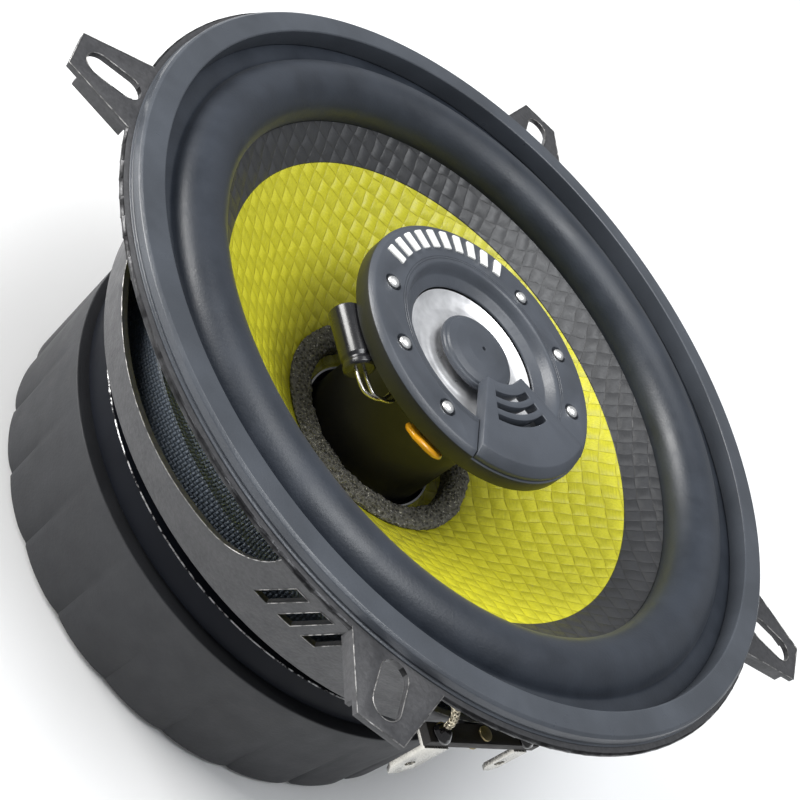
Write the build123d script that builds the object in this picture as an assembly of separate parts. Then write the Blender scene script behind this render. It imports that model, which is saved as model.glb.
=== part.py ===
from build123d import *
import os
from math import cos, radians, sin, sqrt

# A 13 cm coaxial car speaker. +Z points out of the cone, towards the listener.
# The origin is on the axis, in the rear face of the steel rim, which bears on the door panel.
# Two fixing ears lie on the Y axis and the other two are swung a little below the X axis.
# All sizes are in millimetres and degrees.

# ---- driving dimensions ----
# pressed steel basket, from the rim inwards and down
sheet_t = 0.9
sheet_round = 0.3
sheet_bend = 0.6
rim_r = 65.0
rim_w = 4.7
ledge_drop = 2.25
ledge_w = 4.7
basket_depth = 25.75
wall_taper = 5.65
seat_rise = 0.5
seat_w = 6.95
seat_step_w = 1.5
floor_drop = 5.25
window_half_deg = 32.0
window_sill_rise = 6.6
window_sill_half = 19.4
window_sill_sag = 1.9
window_side_h = 2.6
window_turn = 43.0
vent_w = 2.5
vent_h = 7.4
vent_lean = 2.6
vent_pitch = 4.5
vent_rise = 1.2
vent_turn = -6.8

# fixing ears
ear_reach = 10.2
ear_root_w = 16.0
ear_tip_w = 7.5
ear_fold = 1.3
ear_fold_gap = 2.0
ear_swing = 6.3
slot_w = 4.6
slot_l = 9.0
slot_reach = 3.9

# trim ring on the rim
trim_land = 1.5
trim_w = 4.0
trim_h = 2.2
trim_round = 0.3
trim_foot = 0.4
trim_groove = 0.45
trim_groove_h = 0.6
trim_clear = 0.25

# cone and suspension
rubber_t = 0.8
roll_w = 9.6
roll_clear = 0.9
roll_h = 4.1
roll_lean = 0.2
roll_lap = 0.3
roll_gap = 0.05
lip_w = 2.4
cone_t = 0.8
cone_edge_drop = 2.6
band_w = 5.3
band_drop = 3.75
band_t = 0.15
neck_h = 5.4
neck_lip = 0.8
foam_gap = 1.6
foam_w = 4.5
foam_h = 3.8
foam_taper = 0.6
glue_t = 0.02
spider_gap = 0.9
spider_land = 1.7
spider_wall_w = 1.0
spider_rise = 5.4
spider_collar = 2.0
spider_t = 0.5
spider_rolls = 6
spider_height = 0.9

# voice coil and magnet system
pole_r = 12.4
coil_clear = 0.4
former_t = 0.3
former_h = 13.6
winding_t = 0.6
winding_h = 9.0
former_tail = 1.0
gap_clear = 0.8
plate_r = 46.5
plate_t = 5.0
magnet_r = 45.0
magnet_bore_gap = 9.5
magnet_t = 16.0
yoke_r = 44.0
yoke_t = 5.0
floor_hole_gap = 5.5
cover_side_t = 2.75
cover_draft = 0.95
cover_back_t = 2.5
cover_lap = 0.85
cover_hole_r = 21.0
cover_clear = 0.3
cover_round = 1.0
rivet_circle_r = 35.0
rivet_head_r = 2.6
rivet_shank_r = 1.6
rivet_head_t = 1.1
rivet_count = 4

# tweeter, from its diaphragm outwards
dish_r = 12.6
dish_t = 0.3
dish_depth = 1.3
dish_clear = 0.2
dish_drop = 3.05
dish_knee = 1.6
dish_knee_share = 0.55
dish_centre = 1.0
tweeter_coil_r = 9.2
tweeter_coil_t = 0.5
tweeter_coil_h = 1.0
tweeter_gap = 0.55
pot_rim_t = 2.15
pot_t = 1.2
tweeter_magnet_t = 1.0
motor_clear = 0.5
tub_gap = 1.4
tub_wall = 1.5
tub_h = 5.6
bowl_w = 2.9
bowl_step = 0.4
bowl_lift = 0.1
bowl_chamfer = 0.35
bowl_wall_w = 0.75
bowl_wall_h = 1.5
bezel_w = 7.3
bezel_top_z = 2.45
bezel_h = 3.7
bezel_round = 0.8
wedge_turn = -47.0
wedge_half_deg = 35.0
wedge_rise = 1.0
wedge_sink = 1.2
wedge_gap_deg = 0.4
wedge_set_in = 0.3
slit_w = 1.1
slit_pitch = 2.2
slit_gap = 2.5
slit_count = 3
slit_half_deg = 24.0
plug_r = 7.1
plug_t = 1.1
plug_dome = 1.2
plug_drop = 1.75
plug_step = 0.35
plug_step_w = 0.9
plug_hole_r = 0.35
stud_half_degs = (54.5, 89.5, 124.0)
stud_inset = 3.1
stud_head_r = 1.05
stud_bore_gap = 0.4
stud_sink = 1.4
stud_crown = 0.45
stud_stand = 0.1
post_clear = 0.4
post_bore_r = 2.6
screw_r = 1.9
screw_clear = 0.2
screw_head_r = 3.6
screw_head_t = 2.4
screw_slot_w = 1.0
screw_slot_t = 1.2

# parts hung under the tweeter's ring
cap_r = 2.55
cap_l = 10.6
cap_round = 0.4
cap_turn = 213.0
cap_inset = 0.8
cap_gap = 0.25
lead_r = 0.3
lead_bend = 1.0
lead_spread = 0.9
lead_bite = 0.4
lead_drop = 0.6
lead_straight = 3.0
lead_loop_in = 3.4
lead_loop_out = 1.2
lead_entry = 0.4
fuse_r = 3.7
fuse_t = 1.4
fuse_round = 0.5
fuse_turn = -97.0
fuse_inset = 2.6
fuse_drop = 2.5
fuse_tilt = 28.0
fuse_lead_spread = 1.6
fuse_lead_splay = 1.2
fuse_lead_bite = 0.1

# terminals
board_turn = -57.0
board_w = 23.0
board_depth = 3.0
board_t = 1.6
board_gap = 0.4
board_drop = 0.2
lug_w = 6.0
lug_short = 0.6
tab_offset = 8.9
tab_foot = 2.5
tab_t = 0.8
wide_tab_w = 4.8
wide_tab_l = 9.6
narrow_tab_w = 2.8
narrow_tab_l = 7.6
tab_hole_r = 0.8
tab_taper = 0.45
tab_tip = 0.2
tab_hole_share = 0.6
eyelet_r = 0.8
eyelet_head_r = 1.2
eyelet_head_t = 0.5
eyelet_clear = 0.05
tinsel_r = 0.7
tinsel_bend = 2.0
tinsel_rise = 3.6
tinsel_climb = 6.6
tinsel_top = 7.0
tinsel_wall_gap = 0.9
tinsel_reach = 5.2
tinsel_land = 7.0
tinsel_run = 4.0
tinsel_dip = 3.2
tinsel_sink = 0.3

# ---- sizes that follow ----
rim_inner_r = rim_r - rim_w
ledge_inner_r = rim_inner_r - ledge_w
ledge_z = sheet_t - ledge_drop
wall_top_r = ledge_inner_r + sheet_t
wall_top_z = ledge_z - sheet_t
cup_r = wall_top_r - wall_taper
cup_z = -basket_depth
seat_z = cup_z + seat_rise
seat_inner_r = cup_r - sheet_t - seat_w
floor_z = cup_z - floor_drop
wall_slope = wall_taper / (wall_top_z - cup_z)
sill_z = cup_z + window_sill_rise

trim_outer_r = rim_r - trim_land
trim_inner_r = trim_outer_r - trim_w
trim_top_z = sheet_t + trim_h
lip_z = ledge_z + rubber_t

roll_outer_r = ledge_inner_r + roll_clear
cone_r = roll_outer_r - roll_w
cone_edge_z = ledge_z - cone_edge_drop
roll_crest_r = roll_outer_r - roll_w / 2 - roll_lean
roll_crest_z = ledge_z + roll_h
band_inner_r = cone_r - band_w
band_inner_z = cone_edge_z - band_drop
former_inner_r = pole_r + coil_clear
former_r = former_inner_r + former_t
winding_r = former_r + winding_t
plate_bore_r = winding_r + gap_clear
neck_r = former_r + neck_lip
neck_z = floor_z + neck_h
cone_slope = (band_inner_z - neck_z) / (band_inner_r - neck_r)
foam_inner_r = former_r + foam_gap
foam_outer_r = foam_inner_r + foam_w
foam_top_z = neck_z + foam_gap * cone_slope + foam_h
spider_r = cup_r - sheet_t - spider_gap
collar_z = neck_z - cone_t - motor_clear

gap_mid_z = floor_z - plate_t / 2
winding_top_z = gap_mid_z + winding_h / 2
former_end_z = winding_top_z - winding_h - former_tail
former_top_z = former_end_z + former_h
floor_hole_r = plate_bore_r + floor_hole_gap
magnet_inner_r = plate_bore_r + magnet_bore_gap
magnet_z = floor_z - plate_t
yoke_z = magnet_z - magnet_t
back_z = yoke_z - yoke_t
cover_inner_r = magnet_r + cover_clear
cover_front_r = cover_inner_r + cover_side_t
cover_rear_r = cover_front_r - cover_draft
cover_front_z = magnet_z - cover_lap
cover_rear_z = back_z - cover_back_t
rivet_low_z = floor_z - plate_t * 0.6

bowl_r = dish_r + dish_clear
bezel_inner_r = bowl_r + bowl_w
bezel_r = bezel_inner_r + bezel_w
bezel_z = bezel_top_z - bezel_h
stud_circle_r = bezel_inner_r + stud_inset
tub_inner_r = dish_r + tub_gap
tub_r = tub_inner_r + tub_wall
tub_z = bezel_z - tub_h
tub_floor_z = tub_z + tub_wall
dish_z = bezel_top_z - dish_drop
dish_low_z = dish_z - dish_depth
coil_mid_r = tweeter_coil_r + tweeter_coil_t / 2
pot_top_z = dish_low_z - dish_t - motor_clear
pole_piece_r = tweeter_coil_r - tweeter_coil_t / 2 - tweeter_gap
pot_inner_r = coil_mid_r + tweeter_gap
pot_r = pot_inner_r + pot_rim_t
magnet_top_z = tub_floor_z + pot_t + tweeter_magnet_t
plug_z = bezel_top_z - plug_drop
wedge_z = bezel_top_z - wedge_sink
wedge_top_z = bezel_top_z + wedge_rise
post_r = pole_r - post_clear

cap_mid_r = bezel_r - cap_inset
cap_z = bezel_z - cap_r - cap_gap
fuse_mid_r = bezel_r - fuse_inset
fuse_z = bezel_z - fuse_drop

board_z = sill_z - board_drop
board_in = cup_r + (board_z - cup_z) * wall_slope + board_gap
board_low_z = board_z - board_t / 2
eyelet_x = board_in + tab_foot - eyelet_head_r - eyelet_clear

window_turns = [window_turn + quarter * 90 for quarter in range(4)]
vent_turns = [vent_turn + quarter * 90 for quarter in range(4)]
ear_turns = (-ear_swing, 90, 180 + ear_swing, 270)
rivet_turns = [45 + step * 360 / rivet_count for step in range(rivet_count)]
stud_turns = [wedge_turn + side * half for half in stud_half_degs for side in (-1, 1)]
tool_reach = 40.0

os.makedirs("parts", exist_ok=True)


def save(shape, name):
    """Write one piece to its own file."""
    export_step(shape, f"parts/{name}.step")


def lathe(points):
    """Turn a closed outline of (radius, height) points about the axis."""
    outline = Polyline(*[(r, 0, z) for r, z in points], close=True)
    return revolve(make_face(outline), Axis.Z)


def soft_lathe(points, bend):
    """The same, with every corner of the outline rounded."""
    outline = FilletPolyline(*[(r, 0, z) for r, z in points], radius=bend, close=True)
    return revolve(make_face(outline), Axis.Z)


def ring(outer, inner, low, high):
    """A plain ring between two heights."""
    return lathe([(inner, low), (outer, low), (outer, high), (inner, high)])


def disc(radius, low, high):
    """A plain disc between two heights."""
    return Pos(0, 0, (low + high) / 2) * Cylinder(radius, high - low)


def around(turn, shape):
    """Turn a shape about the axis."""
    return Rot(0, 0, turn) * shape


def joined(shapes):
    """Several separate solids as one group."""
    return Compound([solid for shape in shapes for solid in shape.solids()])


def polar(radius, turn, height):
    """A point from radius, direction and height."""
    return (radius * cos(radians(turn)), radius * sin(radians(turn)), height)


def wire(points, radius, bend):
    """A round wire along straight runs with rounded corners."""
    path = FilletPolyline(*points, radius=bend) if len(points) > 2 else Line(*points)
    section = Plane(origin=path @ 0, z_dir=path % 0) * Circle(radius)
    return sweep(section, path)


def cone_front(radius):
    """Height of the cone's front face at a radius."""
    if radius > band_inner_r:
        share = (radius - band_inner_r) / band_w
        return band_inner_z + share * band_drop
    return neck_z + (radius - neck_r) * cone_slope


# ---- basket: one pressed sheet with rim, ledge, windowed wall, spider seat and floor ----
def facing(height):
    """A plane across +X at a height, for tools that cut outwards through the wall."""
    return Plane(origin=(tool_reach, 0, height), x_dir=(0, 1, 0), z_dir=(1, 0, 0))


def ear_blank():
    """One ear along +X: a tapered tab with folded side edges."""
    root_x = rim_r - rim_w / 3
    tip_x = rim_r + ear_reach
    plan = make_face(Polyline(
        (root_x, -ear_root_w / 2), (tip_x, -ear_tip_w / 2),
        (tip_x, ear_tip_w / 2), (root_x, ear_root_w / 2), close=True,
    ))
    core = make_face(Polyline(
        (root_x - 1, -ear_root_w / 2 + sheet_t), (tip_x + 1, -ear_tip_w / 2 + sheet_t),
        (tip_x + 1, ear_tip_w / 2 - sheet_t), (root_x - 1, ear_root_w / 2 - sheet_t), close=True,
    ))
    skirt = extrude(plan, -ear_fold) - extrude(core, -2 * ear_fold)
    skirt -= disc(rim_r, -2 * ear_fold, 0)
    skirt -= Pos(tip_x, 0, 0) * Box(2 * ear_fold_gap, ear_root_w, 4 * ear_fold)
    return extrude(plan, sheet_t) + skirt


def ear_slot():
    """The tool that cuts one ear's slot."""
    slot = Pos(rim_r + slot_reach, 0, sheet_t / 2) * SlotOverall(slot_l, slot_w)
    return extrude(slot, 4 * sheet_t, both=True)


def window_tool():
    """The tool that cuts one window, along +X: flat top, bowed sill, round lower corners."""
    half = (ledge_inner_r - 2) * sin(radians(window_half_deg))
    top = wall_top_z - sill_z
    sill = ThreePointArc(
        (-window_sill_half, window_sill_sag), (0, 0), (window_sill_half, window_sill_sag)
    )
    right = TangentArc(sill @ 1, (half, top - window_side_h), tangent=sill % 1)
    left = mirror(right, about=Plane.YZ)
    lintel = Polyline(right @ 1, (half, top), (-half, top), left @ 1)
    return extrude(facing(sill_z) * make_face([sill, right, lintel, left]), tool_reach)


def vent_tools():
    """Three plain slanted vents through the foot of a spoke, along +X."""
    tools = []
    for step in (-1, 0, 1):
        low = step * vent_pitch - vent_lean / 2
        high = step * vent_pitch + vent_lean / 2
        outline = Polyline(
            (low - vent_w / 2, 0), (low + vent_w / 2, 0),
            (high + vent_w / 2, vent_h), (high - vent_w / 2, vent_h), close=True,
        )
        tools.append(extrude(facing(sill_z + vent_rise) * make_face(outline), tool_reach))
    return tools


def make_basket():
    """The whole pressed sheet, with ears, slots, windows, vents, terminal lug and rivet holes."""
    cup_in = cup_r - sheet_t
    step_r = seat_inner_r - seat_step_w
    under = sheet_t * sheet_bend
    body = soft_lathe([
        (rim_r, 0), (rim_r, sheet_t), (rim_inner_r, sheet_t), (rim_inner_r, ledge_z),
        (ledge_inner_r, ledge_z), (cup_in, seat_z), (seat_inner_r, seat_z),
        (step_r, floor_z + sheet_t), (floor_hole_r, floor_z + sheet_t), (floor_hole_r, floor_z),
        (step_r - under, floor_z), (seat_inner_r - under, seat_z - sheet_t),
        (cup_r - sheet_t - sheet_round, seat_z - sheet_t), (cup_r, cup_z + under),
        (wall_top_r, wall_top_z), (rim_inner_r + sheet_t, wall_top_z), (rim_inner_r + sheet_t, 0),
    ], sheet_round)
    for turn in ear_turns:
        body += around(turn, ear_blank())
    for turn in ear_turns:
        body -= around(turn, ear_slot())
    for turn in vent_turns:
        for tool in vent_tools():
            body -= around(turn, tool)
    for turn in window_turns:
        body -= around(turn, window_tool())
    lug_in = board_in - board_gap - sheet_t * 0.9
    lug_out = board_in + board_depth - lug_short
    lug = Pos((lug_in + lug_out) / 2, 0, board_low_z - sheet_t / 2)
    body += around(board_turn, lug * Box(lug_out - lug_in, lug_w, sheet_t))
    eye = Pos(board_in + board_depth / 2, 0, board_z) * Cylinder(eyelet_r, 4 * board_t)
    body -= around(board_turn, eye)
    for turn in rivet_turns:
        hole = Pos(rivet_circle_r, 0, floor_z) * Cylinder(rivet_shank_r, 4 * sheet_t)
        body -= around(turn, hole)
    return body


def make_trim_ring():
    """Moulded ring over the rim: flat top, grooved side, and a leg down onto the surround's lip."""
    top = trim_top_z
    groove = trim_outer_r - trim_groove
    leg_r = rim_inner_r - trim_clear
    return lathe([
        (trim_inner_r, lip_z), (trim_inner_r, top - trim_round), (trim_inner_r + trim_round, top),
        (trim_outer_r - trim_round, top), (trim_outer_r, top - trim_round),
        (trim_outer_r, top - 2 * trim_round), (groove, top - 3 * trim_round),
        (groove, top - 3 * trim_round - trim_groove_h),
        (trim_outer_r, top - 4 * trim_round - trim_groove_h),
        (trim_outer_r + trim_foot, sheet_t + trim_round), (trim_outer_r + trim_foot, sheet_t),
        (leg_r, sheet_t), (leg_r, lip_z),
    ])


# ---- terminals: board outside the basket wall, on a lug, with two blade tabs ----
def make_tab(side, width, length):
    """A blade tab: a foot under the board, bent down into a tapered blade with a hole."""
    bend_x = board_in + tab_foot
    foot = Pos(board_in + tab_foot / 2, 0, board_low_z - tab_t / 2) * Box(tab_foot, width, tab_t)
    plane = Plane(origin=(bend_x, 0, board_low_z), x_dir=(0, 1, 0), z_dir=(1, 0, 0))
    shoulder = width * tab_taper
    tip = width * tab_tip
    outline = Polyline(
        (-width / 2, 0), (-width / 2, shoulder - length), (-tip, -length),
        (tip, -length), (width / 2, shoulder - length), (width / 2, 0), close=True,
    )
    blade = extrude(plane * make_face(outline), tab_t)
    hole = Pos(bend_x, 0, board_low_z - length * tab_hole_share) * Rot(0, 90, 0)
    hole = hole * Cylinder(tab_hole_r, 6 * tab_t)
    eye = Pos(eyelet_x, 0, board_low_z) * Cylinder(eyelet_r, 4 * tab_t)
    return around(board_turn, Pos(0, side * tab_offset, 0) * (foot + blade - hole - eye))


def eyelet_spots():
    """Where the eyelets sit on the board, and what each one grips below it."""
    return [
        (board_in + board_depth / 2, 0, sheet_t),
        (eyelet_x, -tab_offset, tab_t),
        (eyelet_x, tab_offset, tab_t),
    ]


def make_board():
    """The phenolic board, pierced for its eyelets."""
    plate = Pos(board_in + board_depth / 2, 0, board_z) * Box(board_depth, board_w, board_t)
    for x, y, _ in eyelet_spots():
        plate -= Pos(x, y, board_z) * Cylinder(eyelet_r, 4 * board_t)
    return around(board_turn, plate)


def make_eyelets():
    """Three eyelets: one holds the board to the lug, one holds each tab."""
    rivets = []
    top = board_z + board_t / 2
    for x, y, grip in eyelet_spots():
        low = board_low_z - grip
        rivet = disc(eyelet_r, low, top) + disc(eyelet_head_r, top, top + eyelet_head_t)
        rivet += disc(eyelet_head_r, low - eyelet_head_t, low)
        rivets.append(around(board_turn, Pos(x, y, 0) * rivet))
    return joined(rivets)


# ---- cone assembly and suspension ----
def make_cone():
    """The woven cone, thin, with a steeper band at its edge and a lip round the former."""
    back = cone_t
    return lathe([
        (neck_r, neck_z), (band_inner_r, band_inner_z), (cone_r, cone_edge_z),
        (cone_r, cone_edge_z - back), (band_inner_r, band_inner_z - back),
        (neck_r, neck_z - back), (former_r, neck_z - back), (former_r, neck_z),
    ])


def make_band():
    """The dark woven band laid over the cone's edge."""
    return lathe([
        (band_inner_r, band_inner_z), (cone_r, cone_edge_z),
        (cone_r, cone_edge_z + band_t), (band_inner_r, band_inner_z + band_t),
    ])


def make_surround():
    """Rubber half roll: outer lip on the ledge, inner lip behind the cone's edge."""
    start = (cone_r + roll_lap, 0, cone_edge_z - roll_lap)
    front = ThreePointArc(start, (roll_crest_r, 0, roll_crest_z), (roll_outer_r, 0, lip_z))
    centre = front.arc_center
    inset = [
        point + (centre - point).normalized() * rubber_t
        for point in (front @ 0, front @ 0.5, front @ 1)
    ]
    back = ThreePointArc(*inset)
    edge_z = cone_edge_z - cone_t
    end_r = cone_r - lip_w
    end_z = cone_front(end_r) - cone_t
    inner = Polyline(
        back @ 0, (cone_r, 0, edge_z - rubber_t), (end_r, 0, end_z - rubber_t),
        (end_r, 0, end_z), (cone_r, 0, edge_z), (cone_r + roll_gap, 0, cone_edge_z - roll_lap), front @ 0,
    )
    foot_r = rim_inner_r - trim_clear
    outer = Polyline(
        front @ 1, (foot_r, 0, lip_z), (foot_r, 0, ledge_z),
        (roll_outer_r - rubber_t / 2, 0, ledge_z), back @ 1,
    )
    return revolve(make_face([front, outer, back, inner]), Axis.Z)


def make_foam():
    """Foam ring in the cone's throat."""
    return lathe([
        (foam_inner_r, cone_front(foam_inner_r) + glue_t),
        (foam_outer_r, cone_front(foam_outer_r) + glue_t),
        (foam_outer_r - foam_taper, foam_top_z), (foam_inner_r, foam_top_z),
    ])


def make_spider():
    """Cupped cloth disc: rolls out from the former, then a short wall down to the seat."""
    first_r = former_r + spider_collar
    outer_z = seat_z + spider_t
    flat_r = spider_r - spider_land
    shoulder_r = flat_r - spider_wall_w
    shoulder_z = outer_z + spider_rise
    top = [(former_r, collar_z), (first_r, collar_z)]
    count = spider_rolls * 2
    for step in range(1, count):
        share = step / count
        swing = spider_height if step % 2 else -spider_height
        height = collar_z + share * (shoulder_z - collar_z) + swing
        top.append((first_r + share * (shoulder_r - first_r), height))
    top += [(shoulder_r, shoulder_z), (flat_r, outer_z), (spider_r, outer_z)]
    low = [(r, z - spider_t) for r, z in top[:-2]]
    low += [(flat_r - spider_t, seat_z), (spider_r, seat_z)]
    low.reverse()
    return lathe(top + low)


# ---- magnet system ----
def make_cover():
    """Rubber cover over the magnet and back plate, open in the middle of its back."""
    return lathe([
        (cover_inner_r, cover_front_z), (cover_front_r, cover_front_z),
        (cover_rear_r, cover_rear_z + cover_round), (cover_rear_r - cover_round, cover_rear_z),
        (cover_hole_r, cover_rear_z), (cover_hole_r, back_z), (cover_inner_r, back_z),
    ])


def make_yoke():
    """Back plate and pole in one, bored for the post's screw."""
    yoke = disc(yoke_r, back_z, yoke_z) + disc(pole_r, back_z, floor_z)
    yoke -= disc(screw_r + screw_clear, back_z - 1, floor_z + 1)
    return yoke - disc(screw_head_r + screw_clear, back_z - 1, back_z + screw_head_t)


def make_basket_rivets():
    """Rivets from the basket's floor into the top plate."""
    top = floor_z + sheet_t
    rivet = disc(rivet_shank_r, rivet_low_z, top) + disc(rivet_head_r, top, top + rivet_head_t)
    return joined([around(turn, Pos(rivet_circle_r, 0, 0) * rivet) for turn in rivet_turns])


def make_top_plate():
    """Steel plate in front of the magnet, with the gap's outer wall and rivet holes."""
    plate = ring(plate_r, plate_bore_r, magnet_z, floor_z)
    for turn in rivet_turns:
        hole = disc(rivet_shank_r, rivet_low_z, floor_z + 1)
        plate -= around(turn, Pos(rivet_circle_r, 0, 0) * hole)
    return plate


def make_screw():
    """Long screw from the yoke's back, through the pole and the post, into the tub."""
    screw = disc(screw_r, back_z, tub_floor_z) + disc(screw_head_r, back_z, back_z + screw_head_t)
    return screw - Pos(0, 0, back_z) * Box(screw_slot_w, 1.4 * screw_head_r, 2 * screw_slot_t)


# ---- tweeter ----
def wedge_sector(low, high, inner, outer, half_deg):
    """A sector of a ring about the wedge's middle."""
    a = radians(half_deg)
    outer_arc = ThreePointArc(
        (outer * cos(a), -outer * sin(a)), (outer, 0), (outer * cos(a), outer * sin(a))
    )
    inner_arc = ThreePointArc(
        (inner * cos(a), inner * sin(a)), (inner, 0), (inner * cos(a), -inner * sin(a))
    )
    sides = [Line(outer_arc @ 1, inner_arc @ 0), Line(inner_arc @ 1, outer_arc @ 0)]
    face = make_face([outer_arc, inner_arc] + sides)
    return around(wedge_turn, Pos(0, 0, low) * extrude(face, high - low))


def make_tweeter_ring():
    """The moulded ring: flat face, round edge, bowl down to the diaphragm, counterbores."""
    top = bezel_top_z
    step_z = dish_z + bowl_step + bowl_lift
    body = lathe([
        (tub_inner_r, bezel_z), (bezel_r, bezel_z), (bezel_r, top - bezel_round),
        (bezel_r - bezel_round, top), (bezel_inner_r, top),
        (bezel_inner_r - bowl_chamfer, top - bowl_chamfer),
        (bezel_inner_r - bowl_chamfer - bowl_wall_w, top - bowl_chamfer - bowl_wall_h),
        (bowl_r, step_z),
        (bowl_r, step_z - bowl_step), (tub_inner_r, step_z - bowl_step),
    ])
    body -= wedge_sector(
        wedge_z, top + 1, bowl_r - 2, bezel_r + 1, wedge_half_deg + wedge_gap_deg
    )
    for turn in stud_turns:
        bore = disc(stud_head_r + stud_bore_gap, top - stud_sink, top + 1)
        body -= around(turn, Pos(stud_circle_r, 0, 0) * bore)
    return body


def make_bridge():
    """The raised wedge that lies on the ring and carries the plug over the diaphragm."""
    body = wedge_sector(
        wedge_z, wedge_top_z, plug_r - 1, bezel_r - wedge_set_in, wedge_half_deg
    )
    slope_w = 2 * bezel_round
    body -= lathe([
        (bezel_r - slope_w, wedge_top_z + 0.01), (bezel_r + 1, wedge_top_z + 0.01),
        (bezel_r + 1, wedge_top_z - slope_w - 1),
    ])
    body -= disc(plug_r, wedge_z - 1, wedge_top_z + 1)
    for step in range(slit_count):
        inner = plug_r + slit_gap + step * slit_pitch - slit_w / 2
        body -= wedge_sector(wedge_z - 1, wedge_top_z + 1, inner, inner + slit_w, slit_half_deg)
    return body


def make_plug():
    """The domed disc in front of the diaphragm, with its stepped side and tiny centre hole."""
    rim_top = plug_z + plug_t
    dome_r = (plug_r ** 2 + plug_dome ** 2) / (2 * plug_dome)
    dome = Pos(0, 0, rim_top + plug_dome - dome_r) * Sphere(dome_r)
    body = disc(plug_r, plug_z, rim_top) + (dome & disc(plug_r - plug_step, plug_z, rim_top + 3))
    body += disc(plug_r - plug_step_w, plug_z - plug_step, plug_z)
    return body - disc(plug_hole_r, plug_z + plug_step, rim_top + 3)


def make_studs():
    """Small rivets sunk in the ring."""
    top = bezel_top_z + stud_stand
    crown_r = (stud_head_r ** 2 + stud_crown ** 2) / (2 * stud_crown)
    crown = Pos(0, 0, top + stud_crown - crown_r) * Sphere(crown_r)
    stud = disc(stud_head_r, bezel_top_z - stud_sink, top)
    stud = stud + (crown & disc(stud_head_r, top, top + 1))
    return joined([around(turn, Pos(stud_circle_r, 0, 0) * stud) for turn in stud_turns])


def make_tub():
    """Housing under the ring that holds the tweeter's motor."""
    body = disc(tub_r, tub_z, bezel_z) - disc(tub_inner_r, tub_floor_z, bezel_z + 1)
    return body - disc(screw_r, tub_z - 1, tub_floor_z + 1)


def make_diaphragm():
    """Silver diaphragm: a concave dish outside the coil, a low dome inside it."""
    knee_r = coil_mid_r + dish_knee
    knee_z = dish_z - dish_depth * dish_knee_share
    inner_r = plug_r - dish_centre
    top = [(dish_r, dish_z), (knee_r, knee_z), (coil_mid_r, dish_low_z)]
    top += [(inner_r, dish_low_z + dish_t), (0, dish_low_z + 2 * dish_t)]
    low = [(r, z - dish_t) for r, z in reversed(top)]
    return lathe(top + low)


def make_pot():
    """Steel pot of the tweeter's motor."""
    return disc(pot_r, tub_floor_z, pot_top_z) - disc(pot_inner_r, tub_floor_z + pot_t, pot_top_z + 1)


# ---- the small parts hung under the tweeter, and the braided leads ----
def make_capacitor():
    """Small black electrolytic can lying along the ring's underside."""
    can = Rot(90, 0, 0) * Cylinder(cap_r, cap_l)
    can = fillet(can.edges().filter_by(GeomType.CIRCLE), cap_round)
    return around(cap_turn, Pos(cap_mid_r, 0, cap_z) * can)


def make_capacitor_leads():
    """Two leads from the can's end, looped back into the tub's side."""
    leads = []
    back_y = tub_r * lead_entry
    back_x = sqrt(tub_r ** 2 - back_y ** 2) - lead_bite
    bend_y = cap_l / 2 + lead_straight
    for side in (-lead_spread, lead_spread):
        x = cap_mid_r + side
        points = [
            (x, cap_l / 2, cap_z), (x, bend_y, cap_z),
            (x - lead_loop_in, bend_y + lead_loop_out, cap_z - lead_drop),
            (back_x + side, back_y, cap_z - lead_drop),
        ]
        lead = around(cap_turn, wire(points, lead_r, lead_bend))
        leads.append(lead - disc(tub_r + glue_t, tub_z, bezel_z))
    return joined(leads)


def make_fuse():
    """Orange disc-shaped resettable fuse, tilted under the ring's edge."""
    body = Rot(0, -fuse_tilt, 0) * Cylinder(fuse_r, fuse_t)
    body = fillet(body.edges().filter_by(GeomType.CIRCLE), fuse_round)
    return around(fuse_turn, Pos(fuse_mid_r, 0, fuse_z) * body)


def make_fuse_leads():
    """Two leads from the fuse's edge into the tub's side."""
    leads = []
    for side in (-fuse_lead_spread, fuse_lead_spread):
        reach = sqrt(fuse_r ** 2 - side ** 2) - fuse_lead_bite
        start = (
            fuse_mid_r - reach * cos(radians(fuse_tilt)), side,
            fuse_z - reach * sin(radians(fuse_tilt)),
        )
        end = (tub_r - lead_drop, side * fuse_lead_splay, start[2] - lead_drop)
        lead = around(fuse_turn, wire([start, end], lead_r, 0))
        leads.append(lead - disc(tub_r + glue_t, tub_z, bezel_z) - make_fuse())
    return joined(leads)


def make_tinsel(side, turns):
    """Braided lead from a terminal eyelet, up through the window, to the cone's back."""
    foot = (Rot(0, 0, board_turn) * Pos(eyelet_x, side * tab_offset, 0)).position
    base = board_z + board_t / 2 + eyelet_head_t
    wall_in = board_in - board_gap - sheet_t
    land_r = band_inner_r - tinsel_land
    run_r = land_r + tinsel_run
    points = [
        (foot.X, foot.Y, base),
        (foot.X, foot.Y, base + tinsel_rise),
        polar(wall_in + tinsel_wall_gap, turns[0], base + tinsel_climb),
        polar(wall_in - tinsel_reach, turns[1], base + tinsel_top),
        polar(run_r, turns[2], cone_front(run_r) - cone_t - tinsel_dip),
        polar(land_r, turns[2], cone_front(land_r) - cone_t + tinsel_sink),
    ]
    lead = wire(points, tinsel_r, tinsel_bend) - make_cone()
    return lead.solids().sort_by(SortBy.VOLUME)[-1]


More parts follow.
